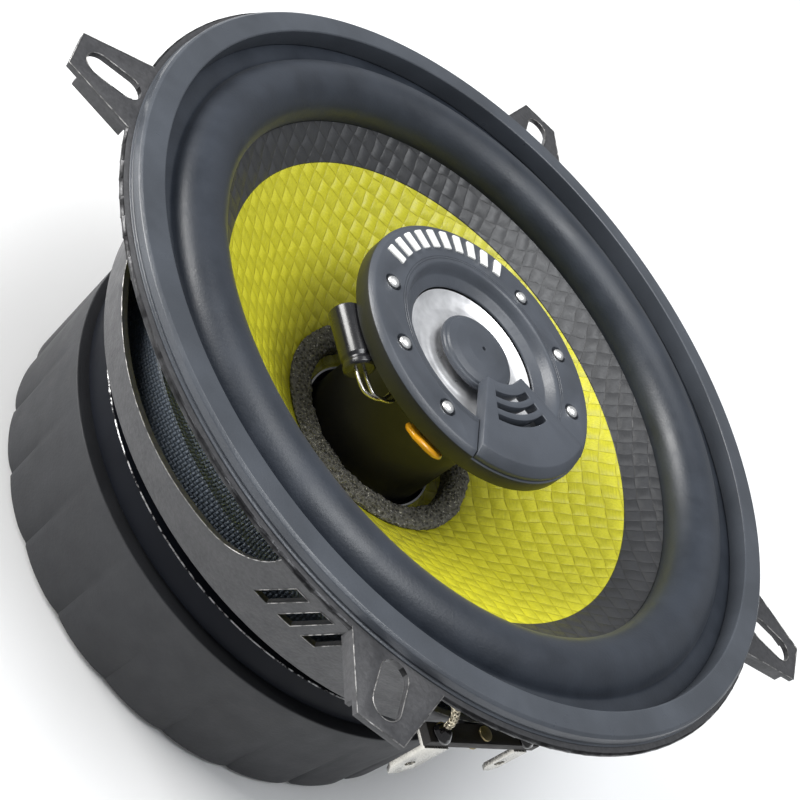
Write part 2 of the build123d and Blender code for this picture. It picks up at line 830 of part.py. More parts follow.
# ---- write every piece ----
save(make_basket(), "basket")
save(make_trim_ring(), "trim_ring")
save(make_surround(), "surround")
save(make_cone(), "cone")
save(make_band(), "cone_edge_band")
save(make_foam(), "throat_foam")
save(make_spider(), "spider")
save(ring(former_r, former_inner_r, former_end_z, former_top_z), "coil_former")
save(ring(winding_r, former_r, winding_top_z - winding_h, winding_top_z), "coil_winding")
save(make_top_plate(), "top_plate")
save(ring(magnet_r, magnet_inner_r, yoke_z, magnet_z), "magnet")
save(make_yoke(), "yoke")
save(make_cover(), "magnet_cover")
save(make_basket_rivets(), "basket_rivets")
save(ring(post_r, post_bore_r, floor_z, tub_z), "tweeter_post")
save(make_screw(), "post_screw")
save(make_tub(), "tweeter_tub")
save(make_pot(), "tweeter_pot")
save(disc(pole_piece_r, tub_floor_z + pot_t, magnet_top_z), "tweeter_magnet")
save(disc(pole_piece_r, magnet_top_z, pot_top_z), "tweeter_pole_plate")
tweeter_coil = ring(
    coil_mid_r, tweeter_coil_r - tweeter_coil_t / 2,
    pot_top_z - tweeter_coil_h, dish_low_z - dish_t,
)
save(tweeter_coil, "tweeter_coil")
save(make_diaphragm(), "tweeter_diaphragm")
save(make_tweeter_ring(), "tweeter_ring")
save(make_bridge(), "tweeter_bridge")
save(make_plug(), "phase_plug")
save(make_studs(), "tweeter_studs")
save(make_capacitor(), "capacitor")
save(make_capacitor_leads(), "capacitor_leads")
save(make_fuse(), "tweeter_fuse")
save(make_fuse_leads(), "fuse_leads")
save(make_board(), "terminal_board")
save(make_tab(-1, wide_tab_w, wide_tab_l), "terminal_tab_positive")
save(make_tab(1, narrow_tab_w, narrow_tab_l), "terminal_tab_negative")
save(make_eyelets(), "terminal_eyelets")
save(make_tinsel(-1, (-71, -76, -80)), "tinsel_lead_positive")
save(make_tinsel(1, (-44, -39, -35)), "tinsel_lead_negative")
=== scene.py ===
import math

import bmesh
import bpy
import numpy as np
from bpy.props import FloatProperty, FloatVectorProperty, IntProperty, PointerProperty
from mathutils import Matrix, Vector, noise


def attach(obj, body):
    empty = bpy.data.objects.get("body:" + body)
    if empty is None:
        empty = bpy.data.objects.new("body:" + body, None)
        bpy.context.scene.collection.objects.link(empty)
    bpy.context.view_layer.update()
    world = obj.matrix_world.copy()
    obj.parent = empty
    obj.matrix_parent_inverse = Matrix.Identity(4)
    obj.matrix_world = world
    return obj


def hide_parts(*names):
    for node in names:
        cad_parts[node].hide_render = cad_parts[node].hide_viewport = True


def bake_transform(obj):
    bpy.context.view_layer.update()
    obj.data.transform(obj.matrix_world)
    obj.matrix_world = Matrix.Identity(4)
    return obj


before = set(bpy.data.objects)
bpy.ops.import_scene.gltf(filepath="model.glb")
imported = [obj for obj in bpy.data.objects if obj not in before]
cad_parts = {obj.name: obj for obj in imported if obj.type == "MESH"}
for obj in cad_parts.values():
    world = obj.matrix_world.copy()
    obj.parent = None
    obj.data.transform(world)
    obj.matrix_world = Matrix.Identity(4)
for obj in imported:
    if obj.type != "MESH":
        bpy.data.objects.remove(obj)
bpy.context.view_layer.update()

bl_info = {
    "name": "Coaxial car speaker",
    "version": (1, 0, 0),
    "blender": (4, 5, 0),
    "location": "3D Viewport > Sidebar > Speaker",
    "description": "Builds a 13 cm coaxial speaker over its engineering frame",
    "category": "Object",
}

# The speaker faces +Z. The rim's rear face is at height 0 and the ears lie on X and Y.
# Heights and radii in outlines are millimetres; objects are in metres.
MM = 0.001
ROUND_STEPS = 256
FINE_STEPS = 192
SMALL_STEPS = 96
MERGE_DISTANCE = 2e-6
EASE_ANGLE = 28
RIM_R = 65.0
WALL_FOOT = (50.85, -25.75)
WALL_TAPER, WALL_HEIGHT = 5.65, 23.5
WALL_EDGES = (-24.6, -2.5)
SHARP_ANGLE = math.radians(50)
BOARD_TURN, BOARD_SIDE = -57, 8.9
CAP_TURN, CAP_R, CAP_Z = 213, 22.2, -4.05
WIRE_R = 0.3
FUSE_TURN, FUSE_TILT, FUSE_R, FUSE_Z = -97, 28, 20.4, -3.75
FLOOR_Z = -0.0597
CAMERA_TURN, CAMERA_RISE, CAMERA_ROLL = -22, 34.477, 52.842
CAMERA_BACK, CAMERA_RIGHT, CAMERA_UP, CAMERA_LIFT = 0.246063, -0.011884, -0.007067, 0.00045


# ---------------------------------------------------------------- settings


def colour_setting(name, description, default):
    """A colour that a user can change."""
    return FloatVectorProperty(
        name=name, description=description, subtype="COLOR", default=default, min=0, max=1
    )


def length_setting(name, description, default):
    """A length in metres that a user can change."""
    return FloatProperty(name=name, description=description, default=default, unit="LENGTH")


def angle_setting(name, description, degrees):
    """An angle that a user can change, given in degrees."""
    return FloatProperty(
        name=name, description=description, default=math.radians(degrees), subtype="ANGLE"
    )


class ConeSettings(bpy.types.PropertyGroup):
    """Woven cone, its dark edge, the foam in its throat and the voice coil."""

    weave_pitch: length_setting("Weave pitch", "Width of one flat tow", 0.0024)
    weave_turn: angle_setting("Weave turn", "Direction of the tows", 15)
    colour: colour_setting("Cone colour", "Resin-coated yellow weave", (0.56, 0.53, 0.022))
    edge_colour: colour_setting(
        "Edge colour", "Dark weave at the cone's edge", (0.030, 0.031, 0.034)
    )
    foam_roughness: length_setting("Foam relief", "Depth of the foam's open cells", 0.00028)


class SuspensionSettings(bpy.types.PropertyGroup):
    """Rubber surround and corrugated spider."""

    rubber_colour: colour_setting("Rubber colour", "Surround rubber", (0.0175, 0.0225, 0.032))
    spider_colour: colour_setting("Spider colour", "Spider cloth", (0.060, 0.078, 0.102))
    spider_rolls: IntProperty(
        name="Spider rolls", description="Corrugations in the spider", default=6, min=2
    )
    spider_swing: length_setting("Spider swing", "Half height of a corrugation", 0.0009)


class FrameSettings(bpy.types.PropertyGroup):
    """Pressed basket and the trim ring on its rim."""

    coat_colour: colour_setting("Basket coat", "Satin powder coat", (0.042, 0.042, 0.045))
    trim_colour: colour_setting("Trim colour", "Moulded trim ring", (0.057, 0.064, 0.076))
    edge_round: length_setting("Edge round", "Rounding of the pressed edges", 0.00014)


class MotorSettings(bpy.types.PropertyGroup):
    """Magnet, plates and the moulded cover over them."""

    cover_colour: colour_setting("Cover colour", "Moulded rubber cover", (0.0165, 0.0175, 0.0205))
    cover_panels: IntProperty(
        name="Cover panels", description="Shallow panels round the cover", default=24, min=3
    )
    cover_step: length_setting("Panel step", "Height of a panel's edge at the back", 0.0009)


class TweeterSettings(bpy.types.PropertyGroup):
    """The tweeter's moulded ring, wedge, plug, dish and fixings."""

    plastic_colour: colour_setting(
        "Plastic colour", "Fine textured moulding", (0.056, 0.063, 0.076)
    )
    # Painted shade: a darker copy of the tweeter moulding for the faces down the ring's side and the
    # housing round the motor.
    painted_shade_colour: colour_setting(
        "Side colour", "Moulding down the ring's side and round the motor", (0.011, 0.012, 0.014)
    )
    edge_round: length_setting("Edge round", "Rounding of the moulded edges", 0.00016)
    wedge_turn: angle_setting("Wedge turn", "Direction of the raised wedge", -47)
    stud_first: angle_setting("First stud", "Angle from the wedge to the nearest stud", 54.5)
    stud_step: angle_setting("Stud step", "Angle from one stud to the next", 34.75)
    bar_count: IntProperty(
        name="Bars", description="Plain raised bars opposite the wedge", default=10, min=1
    )
    bar_step: angle_setting("Bar step", "Angle from one bar to the next", 8.4)


class TerminalSettings(bpy.types.PropertyGroup):
    """Terminal board, blade tabs and braided leads."""

    lead_radius: length_setting("Lead radius", "Outer radius of a braided lead", 0.0007)
    strand_count: IntProperty(
        name="Strands", description="Strands wound each way round a lead", default=4, min=2
    )
    fuse_colour: colour_setting("Fuse colour", "Coated resettable fuse", (0.78, 0.36, 0.015))


class StageSettings(bpy.types.PropertyGroup):
    """Floor, light and camera."""

    floor_colour: colour_setting("Floor colour", "Pale floor", (0.93, 0.93, 0.93))
    key_power: FloatProperty(
        name="Key light", description="Power of the main soft light", default=9.0, unit="POWER"
    )
    lens: FloatProperty(name="Lens", description="Focal length in millimetres", default=71.75)


# ---------------------------------------------------------------- shaping


def rounded(points, radius, steps=4):
    """A closed outline with its corners rounded as far as its edges allow."""
    corners = [Vector((r, z)) for r, z in points]
    outline = []
    for index, corner in enumerate(corners):
        before = corners[index - 1] - corner
        after = corners[(index + 1) % len(corners)] - corner
        on_axis = corner.x < 1e-6
        if on_axis or before.length < 1e-6 or after.length < 1e-6:
            outline.append((corner.x, corner.y))
            continue
        half = before.angle(after) / 2
        if half > math.radians(88):
            outline.append((corner.x, corner.y))
            continue
        cut = min(radius / math.tan(half), before.length * 0.45, after.length * 0.45)
        start = corner + before.normalized() * cut
        end = corner + after.normalized() * cut
        for step in range(steps + 1):
            share = step / steps
            near = start.lerp(corner, share).lerp(corner.lerp(end, share), share)
            outline.append((near.x, near.y))
    return outline


def arc(start, middle, end, steps):
    """Points on the circle through three (radius, height) points, ends included."""
    (ax, ay), (bx, by), (cx, cy) = start, middle, end
    d = 2 * (ax * (by - cy) + bx * (cy - ay) + cx * (ay - by))
    a2, b2, c2 = ax * ax + ay * ay, bx * bx + by * by, cx * cx + cy * cy
    ox = (a2 * (by - cy) + b2 * (cy - ay) + c2 * (ay - by)) / d
    oy = (a2 * (cx - bx) + b2 * (ax - cx) + c2 * (bx - ax)) / d
    radius = math.hypot(ax - ox, ay - oy)
    first = math.atan2(ay - oy, ax - ox)
    through = math.atan2(by - oy, bx - ox)
    last = math.atan2(cy - oy, cx - ox)
    way = -1 if (first - through) % math.tau < (first - last) % math.tau else 1
    sweep = ((last - first) * way) % math.tau
    angles = [first + way * sweep * step / steps for step in range(steps + 1)]
    return [(ox + radius * math.cos(a), oy + radius * math.sin(a)) for a in angles]


def divided(points, longest):
    """An outline whose long edges are cut into shorter ones."""
    result = []
    for index, (r, z) in enumerate(points):
        r2, z2 = points[(index + 1) % len(points)]
        count = max(1, math.ceil(math.hypot(r2 - r, z2 - z) / longest))
        for step in range(count):
            share = step / count
            result.append((r + (r2 - r) * share, z + (z2 - z) * share))
    return result


def finish_mesh(mesh, crease=32):
    """Merge doubles, point the faces outwards and shade smooth up to an angle."""
    work = bmesh.new()
    work.from_mesh(mesh)
    bmesh.ops.remove_doubles(work, verts=work.verts, dist=MERGE_DISTANCE)
    bmesh.ops.dissolve_degenerate(work, edges=work.edges, dist=1e-7)
    bmesh.ops.recalc_face_normals(work, faces=work.faces)
    work.to_mesh(mesh)
    work.free()
    smooth(mesh, crease)


def smooth(mesh, crease=32):
    """Shade smooth, with edges above an angle left sharp."""
    mesh.polygons.foreach_set("use_smooth", [True] * len(mesh.polygons))
    mesh.set_sharp_from_angle(angle=math.radians(crease))
    mesh.update()


def lathe(outline, steps=ROUND_STEPS, crease=32):
    """A mesh turned about Z from a closed outline of (radius, height) in millimetres."""
    rows = np.array(outline, float) * MM
    turns = np.linspace(0, math.tau, steps, endpoint=False)
    count = len(rows)
    verts = np.empty((steps, count, 3))
    verts[..., 0] = np.cos(turns)[:, None] * rows[:, 0]
    verts[..., 1] = np.sin(turns)[:, None] * rows[:, 0]
    verts[..., 2] = rows[:, 1]
    faces = []
    for s in range(steps):
        t = (s + 1) % steps
        for i in range(count):
            j = (i + 1) % count
            faces.append((s * count + i, t * count + i, t * count + j, s * count + j))
    mesh = bpy.data.meshes.new("lathe")
    mesh.from_pydata(verts.reshape(-1, 3).tolist(), [], faces)
    finish_mesh(mesh, crease)
    return mesh


def tube(path, radius, sides=8):
    """A closed tube along a list of points."""
    verts, faces = [], []
    side = None
    for index, point in enumerate(path):
        ahead = path[min(index + 1, len(path) - 1)] - path[max(index - 1, 0)]
        ahead.normalize()
        if side is None:
            side = ahead.orthogonal().normalized()
        side = (side - ahead * side.dot(ahead)).normalized()
        other = ahead.cross(side)
        for k in range(sides):
            a = math.tau * k / sides
            verts.append(point + (side * math.cos(a) + other * math.sin(a)) * radius)
    for index in range(len(path) - 1):
        for k in range(sides):
            n = (k + 1) % sides
            a, b = index * sides, (index + 1) * sides
            faces.append((a + k, a + n, b + n, b + k))
    faces.append(tuple(reversed(range(sides))))
    last = (len(path) - 1) * sides
    faces.append(tuple(range(last, last + sides)))
    mesh = bpy.data.meshes.new("tube")
    mesh.from_pydata(verts, [], faces)
    finish_mesh(mesh, 50)
    return mesh


def spline_points(points, resolution=24):
    """Points along a smooth NURBS line through a route's control points, in metres."""
    curve = bpy.data.curves.new("route", "CURVE")
    curve.dimensions = "3D"
    curve.resolution_u = resolution
    line = curve.splines.new("NURBS")
    line.points.add(len(points) - 1)
    for target, point in zip(line.points, points):
        target.co = (*point, 1)
    line.order_u = 3
    line.use_endpoint_u = True
    holder = bpy.data.objects.new("route", curve)
    mesh = bpy.data.meshes.new_from_object(holder)
    result = [vertex.co.copy() for vertex in mesh.vertices]
    bpy.data.objects.remove(holder)
    bpy.data.curves.remove(curve)
    bpy.data.meshes.remove(mesh)
    return result


def bent_wires(routes, radius, turn):
    """Wires along routes in millimetres, turned into place, as one mesh."""
    wires = []
    for route in routes:
        points = spline_points([Vector(point) * MM for point in route])
        wires.append(moved(tube(points, radius * MM), turn))
    return joined(wires, "wires")


def joined(meshes, name):
    """Several meshes as one, each keeping its own material."""
    work = bmesh.new()
    materials = []
    for mesh in meshes:
        shift = len(materials)
        materials += list(mesh.materials) or [None]
        start = len(work.faces)
        work.from_mesh(mesh)
        work.faces.ensure_lookup_table()
        for face in work.faces[start:]:
            face.material_index += shift
    result = bpy.data.meshes.new(name)
    work.to_mesh(result)
    work.free()
    for material in materials:
        result.materials.append(material)
    return result


def moved(mesh, *matrices):
    """The same mesh after one or more transforms, applied left to right."""
    for matrix in matrices:
        mesh.transform(matrix)
    return mesh


def box_mesh(size, bevel, steps=2):
    """A block centred on the origin, with rounded edges, in millimetres."""
    work = bmesh.new()
    bmesh.ops.create_cube(work, size=1)
    bmesh.ops.scale(work, vec=Vector(size) * MM, verts=work.verts)
    bmesh.ops.bevel(
        work, geom=work.edges[:], offset=bevel * MM, segments=steps, profile=0.5,
        affect="EDGES",
    )
    mesh = bpy.data.meshes.new("block")
    work.to_mesh(mesh)
    work.free()
    smooth(mesh, 40)
    return mesh


def show(name, mesh, material=None):
    """An object at the origin that shows a mesh."""
    mesh.name = name
    piece = bpy.data.objects.new(name, mesh)
    bpy.context.scene.collection.objects.link(piece)
    if material is not None:
        mesh.materials.clear()
        mesh.materials.append(material)
    return piece


def settle(piece, body, slot, *nodes):
    """A finished piece rides on its body and stands for its nodes."""
    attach(piece, body)
    if nodes:
        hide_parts(*nodes)
    return piece


def baked(piece):
    """The piece's mesh with its modifiers applied, and the modifiers removed."""
    view = bpy.context.evaluated_depsgraph_get()
    view.update()
    mesh = bpy.data.meshes.new_from_object(piece.evaluated_get(view), depsgraph=view)
    piece.modifiers.clear()
    piece.data = mesh
    return mesh


def eased_copy(node, name, width, material):
    """A merged copy of a node with its sharp edges eased."""
    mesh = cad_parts[node].data.copy()
    work = bmesh.new()
    work.from_mesh(mesh)
    bmesh.ops.remove_doubles(work, verts=work.verts, dist=MERGE_DISTANCE)
    bmesh.ops.dissolve_limit(
        work, angle_limit=math.radians(0.6), verts=work.verts, edges=work.edges
    )
    work.to_mesh(mesh)
    work.free()
    piece = show(name, mesh, material)
    ease = piece.modifiers.new("Ease", "BEVEL")
    ease.width = width
    ease.segments = 2
    ease.limit_method = "ANGLE"
    ease.angle_limit = math.radians(EASE_ANGLE)
    baked(piece)
    smooth(piece.data)
    return piece


def ring_blend(piece):
    """Flatten the ring's vertices to their radius and height, bake the object's transform, and put the
    vertices back where they were.
    """
    mesh = piece.data
    places = [vertex.co.copy() for vertex in mesh.vertices]
    for vertex in mesh.vertices:
        vertex.co = (math.hypot(vertex.co.x, vertex.co.y), 0, vertex.co.z)
    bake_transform(piece)
    for vertex, place in zip(mesh.vertices, places):
        vertex.co = place


# ---------------------------------------------------------------- rules that repeat pieces


class NodeTree:
    """A tree of nodes being built."""

    def __init__(self, tree):
        self.tree = tree

    def node(self, kind, *links, **values):
        """A node with its inputs linked or set, in order, and its options set."""
        made = self.tree.nodes.new(kind)
        for key, value in values.items():
            setattr(made, key, value)
        for socket, value in zip([s for s in made.inputs if s.enabled], links):
            self.feed(socket, value)
        return made

    def feed(self, socket, value):
        """Link or set one input."""
        if isinstance(value, bpy.types.NodeSocket):
            self.tree.links.new(value, socket)
        elif value is not None:
            socket.default_value = value

    def math(self, operation, *links):
        """The result of one sum."""
        return self.node("ShaderNodeMath", *links, operation=operation).outputs[0]


class RuleTree(NodeTree):
    """A Geometry Nodes tree being built."""

    def __init__(self, name):
        super().__init__(bpy.data.node_groups.new(name, "GeometryNodeTree"))
        for way in ("INPUT", "OUTPUT"):
            self.tree.interface.new_socket(
                "Geometry", in_out=way, socket_type="NodeSocketGeometry"
            )
        self.start = self.tree.nodes.new("NodeGroupInput")
        self.end = self.tree.nodes.new("NodeGroupOutput")

    def size(self, name, kind="NodeSocketFloat"):
        """A named input of the rule."""
        self.tree.interface.new_socket(name, in_out="INPUT", socket_type=kind)
        return self.start.outputs[name]

    def close(self, geometry, material):
        """Real geometry with its material, as the tree's result."""
        real = self.node("GeometryNodeRealizeInstances", geometry)
        painted = self.node("GeometryNodeSetMaterial", real.outputs[0], None, material)
        self.tree.links.new(painted.outputs[0], self.end.inputs[0])

    def apply(self, piece, values):
        """Run the rule on a piece with its named sizes, and keep a plain mesh."""
        modifier = piece.modifiers.new(self.tree.name, "NODES")
        modifier.node_group = self.tree
        for item in self.tree.interface.items_tree:
            if item.item_type == "SOCKET" and item.in_out == "INPUT" and item.name in values:
                modifier[item.identifier] = values[item.name]
        return baked(piece)


def repeated_round(name, sample, material, count, radius, first, step):
    """Copies of a sample set round the axis, each turned to face outwards."""
    tree = RuleTree(name + " rule")
    pattern = show(name + " sample", sample, material)
    shape = tree.size("Sample", "NodeSocketObject")
    number = tree.size("Count", "NodeSocketInt")
    reach = tree.size("Radius")
    begin = tree.size("First angle")
    pitch = tree.size("Angle step")
    spots = tree.node("GeometryNodePoints", number)
    order = tree.node("GeometryNodeInputIndex").outputs[0]
    angle = tree.math("ADD", begin, tree.math("MULTIPLY", order, pitch))
    across = tree.math("MULTIPLY", tree.math("COSINE", angle), reach)
    along = tree.math("MULTIPLY", tree.math("SINE", angle), reach)
    place = tree.node("ShaderNodeCombineXYZ", across, along).outputs[0]
    placed = tree.node("GeometryNodeSetPosition", spots.outputs[0], None, place)
    turn = tree.node("ShaderNodeCombineXYZ", None, None, angle).outputs[0]
    source = tree.node("GeometryNodeObjectInfo", shape).outputs["Geometry"]
    copies = tree.node("GeometryNodeInstanceOnPoints", placed.outputs[0], None, source)
    tree.feed(copies.inputs["Rotation"], turn)
    tree.close(copies.outputs[0], material)
    piece = show(name, bpy.data.meshes.new(name), material)
    tree.apply(piece, {
        "Sample": pattern, "Count": count, "Radius": radius, "First angle": first,
        "Angle step": step,
    })
    bpy.data.objects.remove(pattern)
    smooth(piece.data, 40)
    return piece


# ---------------------------------------------------------------- finishes


class Finish(NodeTree):
    """A material being built from procedural nodes on the piece's own coordinates."""

    def __init__(self, name, colour, roughness, metallic=0.0, **sockets):
        self.material = bpy.data.materials.new(name)
        self.material.use_nodes = True
        self.material.diffuse_color = (*colour, 1)
        super().__init__(self.material.node_tree)
        self.shader = self.tree.nodes["Principled BSDF"]
        self.colour = tuple(colour)
        self.shader.inputs["Base Color"].default_value = (*colour, 1)
        self.shader.inputs["Roughness"].default_value = roughness
        self.shader.inputs["Metallic"].default_value = metallic
        for key, value in sockets.items():
            self.shader.inputs[key.replace("_", " ")].default_value = value
        self.place = self.tree.nodes.new("ShaderNodeTexCoord").outputs["Object"]
        self.height = None

    def mapped(self, turn=0.0, scale=(1, 1, 1)):
        """Object coordinates turned about Z and then scaled."""
        turned = self.node("ShaderNodeMapping", self.place, (0, 0, 0), (0, 0, turn), (1, 1, 1))
        return self.node(
            "ShaderNodeMapping", turned.outputs[0], (0, 0, 0), (0, 0, 0), scale
        ).outputs[0]

    def grain(self, size, detail=3.0, place=None, roughness=0.55):
        """Noise whose features are about size metres across."""
        made = self.node("ShaderNodeTexNoise", place or self.place)
        made.inputs["Scale"].default_value = 1 / size
        made.inputs["Detail"].default_value = detail
        made.inputs["Roughness"].default_value = roughness
        return made.outputs[0]

    def span(self, value, low, high, to_low=0.0, to_high=1.0):
        """A value remapped from one span to another, and held inside it."""
        made = self.node("ShaderNodeMapRange", value, low, high, to_low, to_high)
        return made.outputs[0]

    def blend(self, share, first, second):
        """A colour between two colours."""
        made = self.node("ShaderNodeMix", data_type="RGBA")
        self.feed(made.inputs[0], share)
        for socket, colour in ((made.inputs[6], first), (made.inputs[7], second)):
            linked = isinstance(colour, bpy.types.NodeSocket)
            self.feed(socket, colour if linked else (*colour[:3], 1))
        return made.outputs[2]

    def pick(self, share, first, second):
        """A value between two values."""
        made = self.node("ShaderNodeMix", data_type="FLOAT")
        for number, value in ((0, share), (2, first), (3, second)):
            self.tree.links.new(value, made.inputs[number])
        return made.outputs[0]

    def shade(self, times):
        """The finish's own colour made darker or lighter."""
        return tuple(min(1.0, channel * times) for channel in self.colour)

    def paint(self, colour=None, roughness=None):
        """Link the colour and the roughness."""
        if colour is not None:
            self.tree.links.new(colour, self.shader.inputs["Base Color"])
        if roughness is not None:
            self.tree.links.new(roughness, self.shader.inputs["Roughness"])

    def relief(self, height, depth, strength=1.0):
        """Raise the surface by a height of 0 to 1 times a depth in metres."""
        bump = self.node("ShaderNodeBump")
        bump.inputs["Strength"].default_value = strength
        bump.inputs["Distance"].default_value = depth
        self.tree.links.new(height, bump.inputs["Height"])
        if self.height is not None:
            self.tree.links.new(self.height, bump.inputs["Normal"])
        self.height = bump.outputs[0]
        self.tree.links.new(self.height, self.shader.inputs["Normal"])

    def radius(self):
        """Distance from the speaker's axis."""
        parts = self.node("ShaderNodeSeparateXYZ", self.place)
        across = self.math("POWER", parts.outputs[0], 2.0)
        along = self.math("POWER", parts.outputs[1], 2.0)
        return self.math("SQRT", self.math("ADD", across, along))


def moulded_finish(name, colour, roughness=0.42, grain=0.00035, depth=0.00003, **sockets):
    """Fine textured plastic with slight variation in tone and gloss."""
    made = Finish(name, colour, roughness, **sockets)
    drift = made.grain(0.012, 3)
    tone = made.blend(made.span(drift, 0.35, 0.65), made.shade(0.86), made.shade(1.16))
    fine = made.grain(grain, 2)
    made.paint(tone, made.span(made.grain(0.004, 4), 0.3, 0.7, roughness - 0.05, roughness + 0.07))
    made.relief(fine, depth)
    return made


def powder_coat_finish(name, colour):
    """Sandy satin powder coat."""
    made = Finish(name, colour, 0.46)
    grit = made.grain(0.0006, 3)
    tone = made.blend(made.span(grit, 0.3, 0.7), made.shade(0.78), made.shade(1.25))
    made.paint(tone, made.span(made.grain(0.003, 3), 0.3, 0.7, 0.38, 0.54))
    made.relief(grit, 0.00009, 0.8)
    return made.material


def bare_edge_finish(name, colour, dark, patch=0.0022):
    """Sheared metal edge, bright with dull and tarnished patches."""
    made = Finish(name, colour, 0.34, metallic=0.85)
    worn = made.span(made.grain(patch, 5), 0.42, 0.58)
    made.paint(made.blend(worn, colour, dark), made.span(worn, 0, 1, 0.28, 0.6))
    made.relief(made.grain(0.0004, 3), 0.00005)
    return made.material


def rubber_finish(name, colour, roughness=0.42):
    """Moulded rubber with a soft sheen and faint mottling."""
    made = Finish(name, colour, roughness, Sheen_Weight=0.05, Sheen_Roughness=0.5)
    cloud = made.grain(0.006, 4)
    tone = made.blend(made.span(cloud, 0.3, 0.7), made.shade(0.85), made.shade(1.2))
    made.paint(tone, made.span(cloud, 0.3, 0.7, roughness - 0.06, roughness + 0.08))
    made.relief(made.grain(0.0005, 3), 0.00003)
    return made.material


def woven_finish(name, colour, pitch, turn, gap, roughness, depth, sheen_contrast, wrapped=False):
    """Plain weave of flat tows, each cell showing the tow on top, laid flat or wrapped round. Tows
    running one way are painted lighter and the other way darker as painted sheen, and the gaps between
    tows are darkened as painted shade.
    """
    made = Finish(name, colour, roughness, Coat_Weight=0.18, Coat_Roughness=0.25)
    wobble = made.grain(0.009, 2)
    sway = made.span(wobble, 0.3, 0.7, -0.16, 0.16)
    if wrapped:
        parts = made.node("ShaderNodeSeparateXYZ", made.place)
        angle = made.math("ARCTAN2", parts.outputs[1], parts.outputs[0])
        across = made.math("MULTIPLY", angle, 0.045 / pitch)
        reach = made.math("SUBTRACT", made.radius(), parts.outputs[2])
        along = made.math("DIVIDE", reach, pitch)
    else:
        cells = made.mapped(-turn, (1 / pitch, 1 / pitch, 1 / pitch))
        parts = made.node("ShaderNodeSeparateXYZ", cells)
        across, along = parts.outputs[0], parts.outputs[1]
    across = made.math("ADD", across, sway)
    along = made.math("SUBTRACT", along, sway)
    wave_a = made.math("SINE", made.math("MULTIPLY", across, math.pi))
    wave_b = made.math("SINE", made.math("MULTIPLY", along, math.pi))
    on_top = made.math("GREATER_THAN", made.math("MULTIPLY", wave_a, wave_b), 0.0)
    crown_a = made.math("ABSOLUTE", wave_a)
    crown_b = made.math("ABSOLUTE", wave_b)
    edge = made.math("POWER", made.math("MINIMUM", crown_a, crown_b), 0.2)
    bow_a = made.math("MULTIPLY", made.math("POWER", crown_a, 0.9), edge)
    bow_b = made.math("MULTIPLY", made.math("POWER", crown_b, 0.9), edge)
    crown = made.pick(on_top, bow_b, bow_a)
    lengthways = made.mapped(-turn, (0.06, 1, 1))
    crossways = made.mapped(-turn, (1, 0.06, 1))
    fibre_a = made.grain(0.00022, 2, lengthways)
    fibre_b = made.grain(0.00022, 2, crossways)
    fibres = made.pick(on_top, fibre_b, fibre_a)
    # Painted sheen: tows running one way are lighter and those running the other way darker, by the
    # contrast given.
    tow = made.blend(on_top, made.shade(1 - sheen_contrast), made.shade(1 + sheen_contrast))
    thread = made.blend(made.span(fibres, 0.35, 0.65), made.shade(0.82), made.shade(1.2))
    mixed = made.blend(0.45, tow, thread)
    # Painted shade: the gaps between tows are darkened towards the gap colour.
    shadow = made.span(edge, 0.4, 0.72)
    made.paint(
        made.blend(shadow, gap, mixed),
        made.span(fibres, 0.3, 0.7, roughness - 0.08, roughness + 0.1),
    )
    made.relief(crown, depth)
    made.relief(fibres, depth * 0.22)
    return made.material


def foam_finish(name, colour):
    """Open-cell foam: pores darkened as painted shade, pale cell walls and a few bright specks."""
    made = Finish(name, colour, 0.95)
    cells = made.node("ShaderNodeTexVoronoi", made.place, feature="F1")
    cells.inputs["Scale"].default_value = 1 / 0.00062
    pore_shade = made.span(cells.outputs["Distance"], 0.15, 0.62)
    speck = made.span(made.grain(0.00042, 2), 0.63, 0.72)
    # Painted shade: the pores are darkened as holes in shade.
    tone = made.blend(pore_shade, made.shade(0.35), made.shade(1.5))
    made.paint(made.blend(speck, tone, made.shade(5.5)))
    made.relief(cells.outputs["Distance"], 0.0004)
    made.relief(made.grain(0.0009, 4), 0.0005)
    return made.material


def plated_finish(name, colour, roughness, grain=0.0018, depth=0.00003, dull=0.7):
    """Plated or tinned metal with faint clouds and fine scratches."""
    made = Finish(name, colour, roughness, metallic=1.0)
    cloud = made.grain(grain, 4)
    scratches = made.grain(0.0003, 2, made.mapped(0.6, (0.08, 1, 1)))
    made.paint(
        made.blend(made.span(cloud, 0.4, 0.68), colour, made.shade(dull)),
        made.span(scratches, 0.3, 0.7, roughness * 0.8, roughness * 1.35),
    )
    made.relief(scratches, depth)
    return made.material


def turned_finish(name, colour, roughness, pitch, depth, metallic=1.0):
    """Metal with fine rings left by turning or spinning, about the speaker's axis."""
    made = Finish(name, colour, roughness, metallic=metallic)
    rings = made.math("SINE", made.math("MULTIPLY", made.radius(), math.tau / pitch))
    cloud = made.grain(0.003, 3)
    made.paint(
        made.blend(made.span(cloud, 0.35, 0.65), made.shade(0.88), made.shade(1.08)),
        made.span(cloud, 0.3, 0.7, roughness * 0.85, roughness * 1.25),
    )
    made.relief(rings, depth)
    return made.material


def wound_finish(name, colour, pitch):
    """Enamelled wire wound in close turns one above the other, with painted shade in the grooves between
    turns.
    """
    made = Finish(name, colour, 0.3, metallic=0.9, Coat_Weight=0.6)
    parts = made.node("ShaderNodeSeparateXYZ", made.place)
    turns = made.math("SINE", made.math("MULTIPLY", parts.outputs[2], math.tau / pitch))
    # Painted shade: the grooves between turns are darkened.
    made.paint(made.blend(made.span(turns, -1, 0.4), made.shade(0.35), colour))
    made.relief(turns, pitch * 0.3)
    return made.material


# ---------------------------------------------------------------- pieces


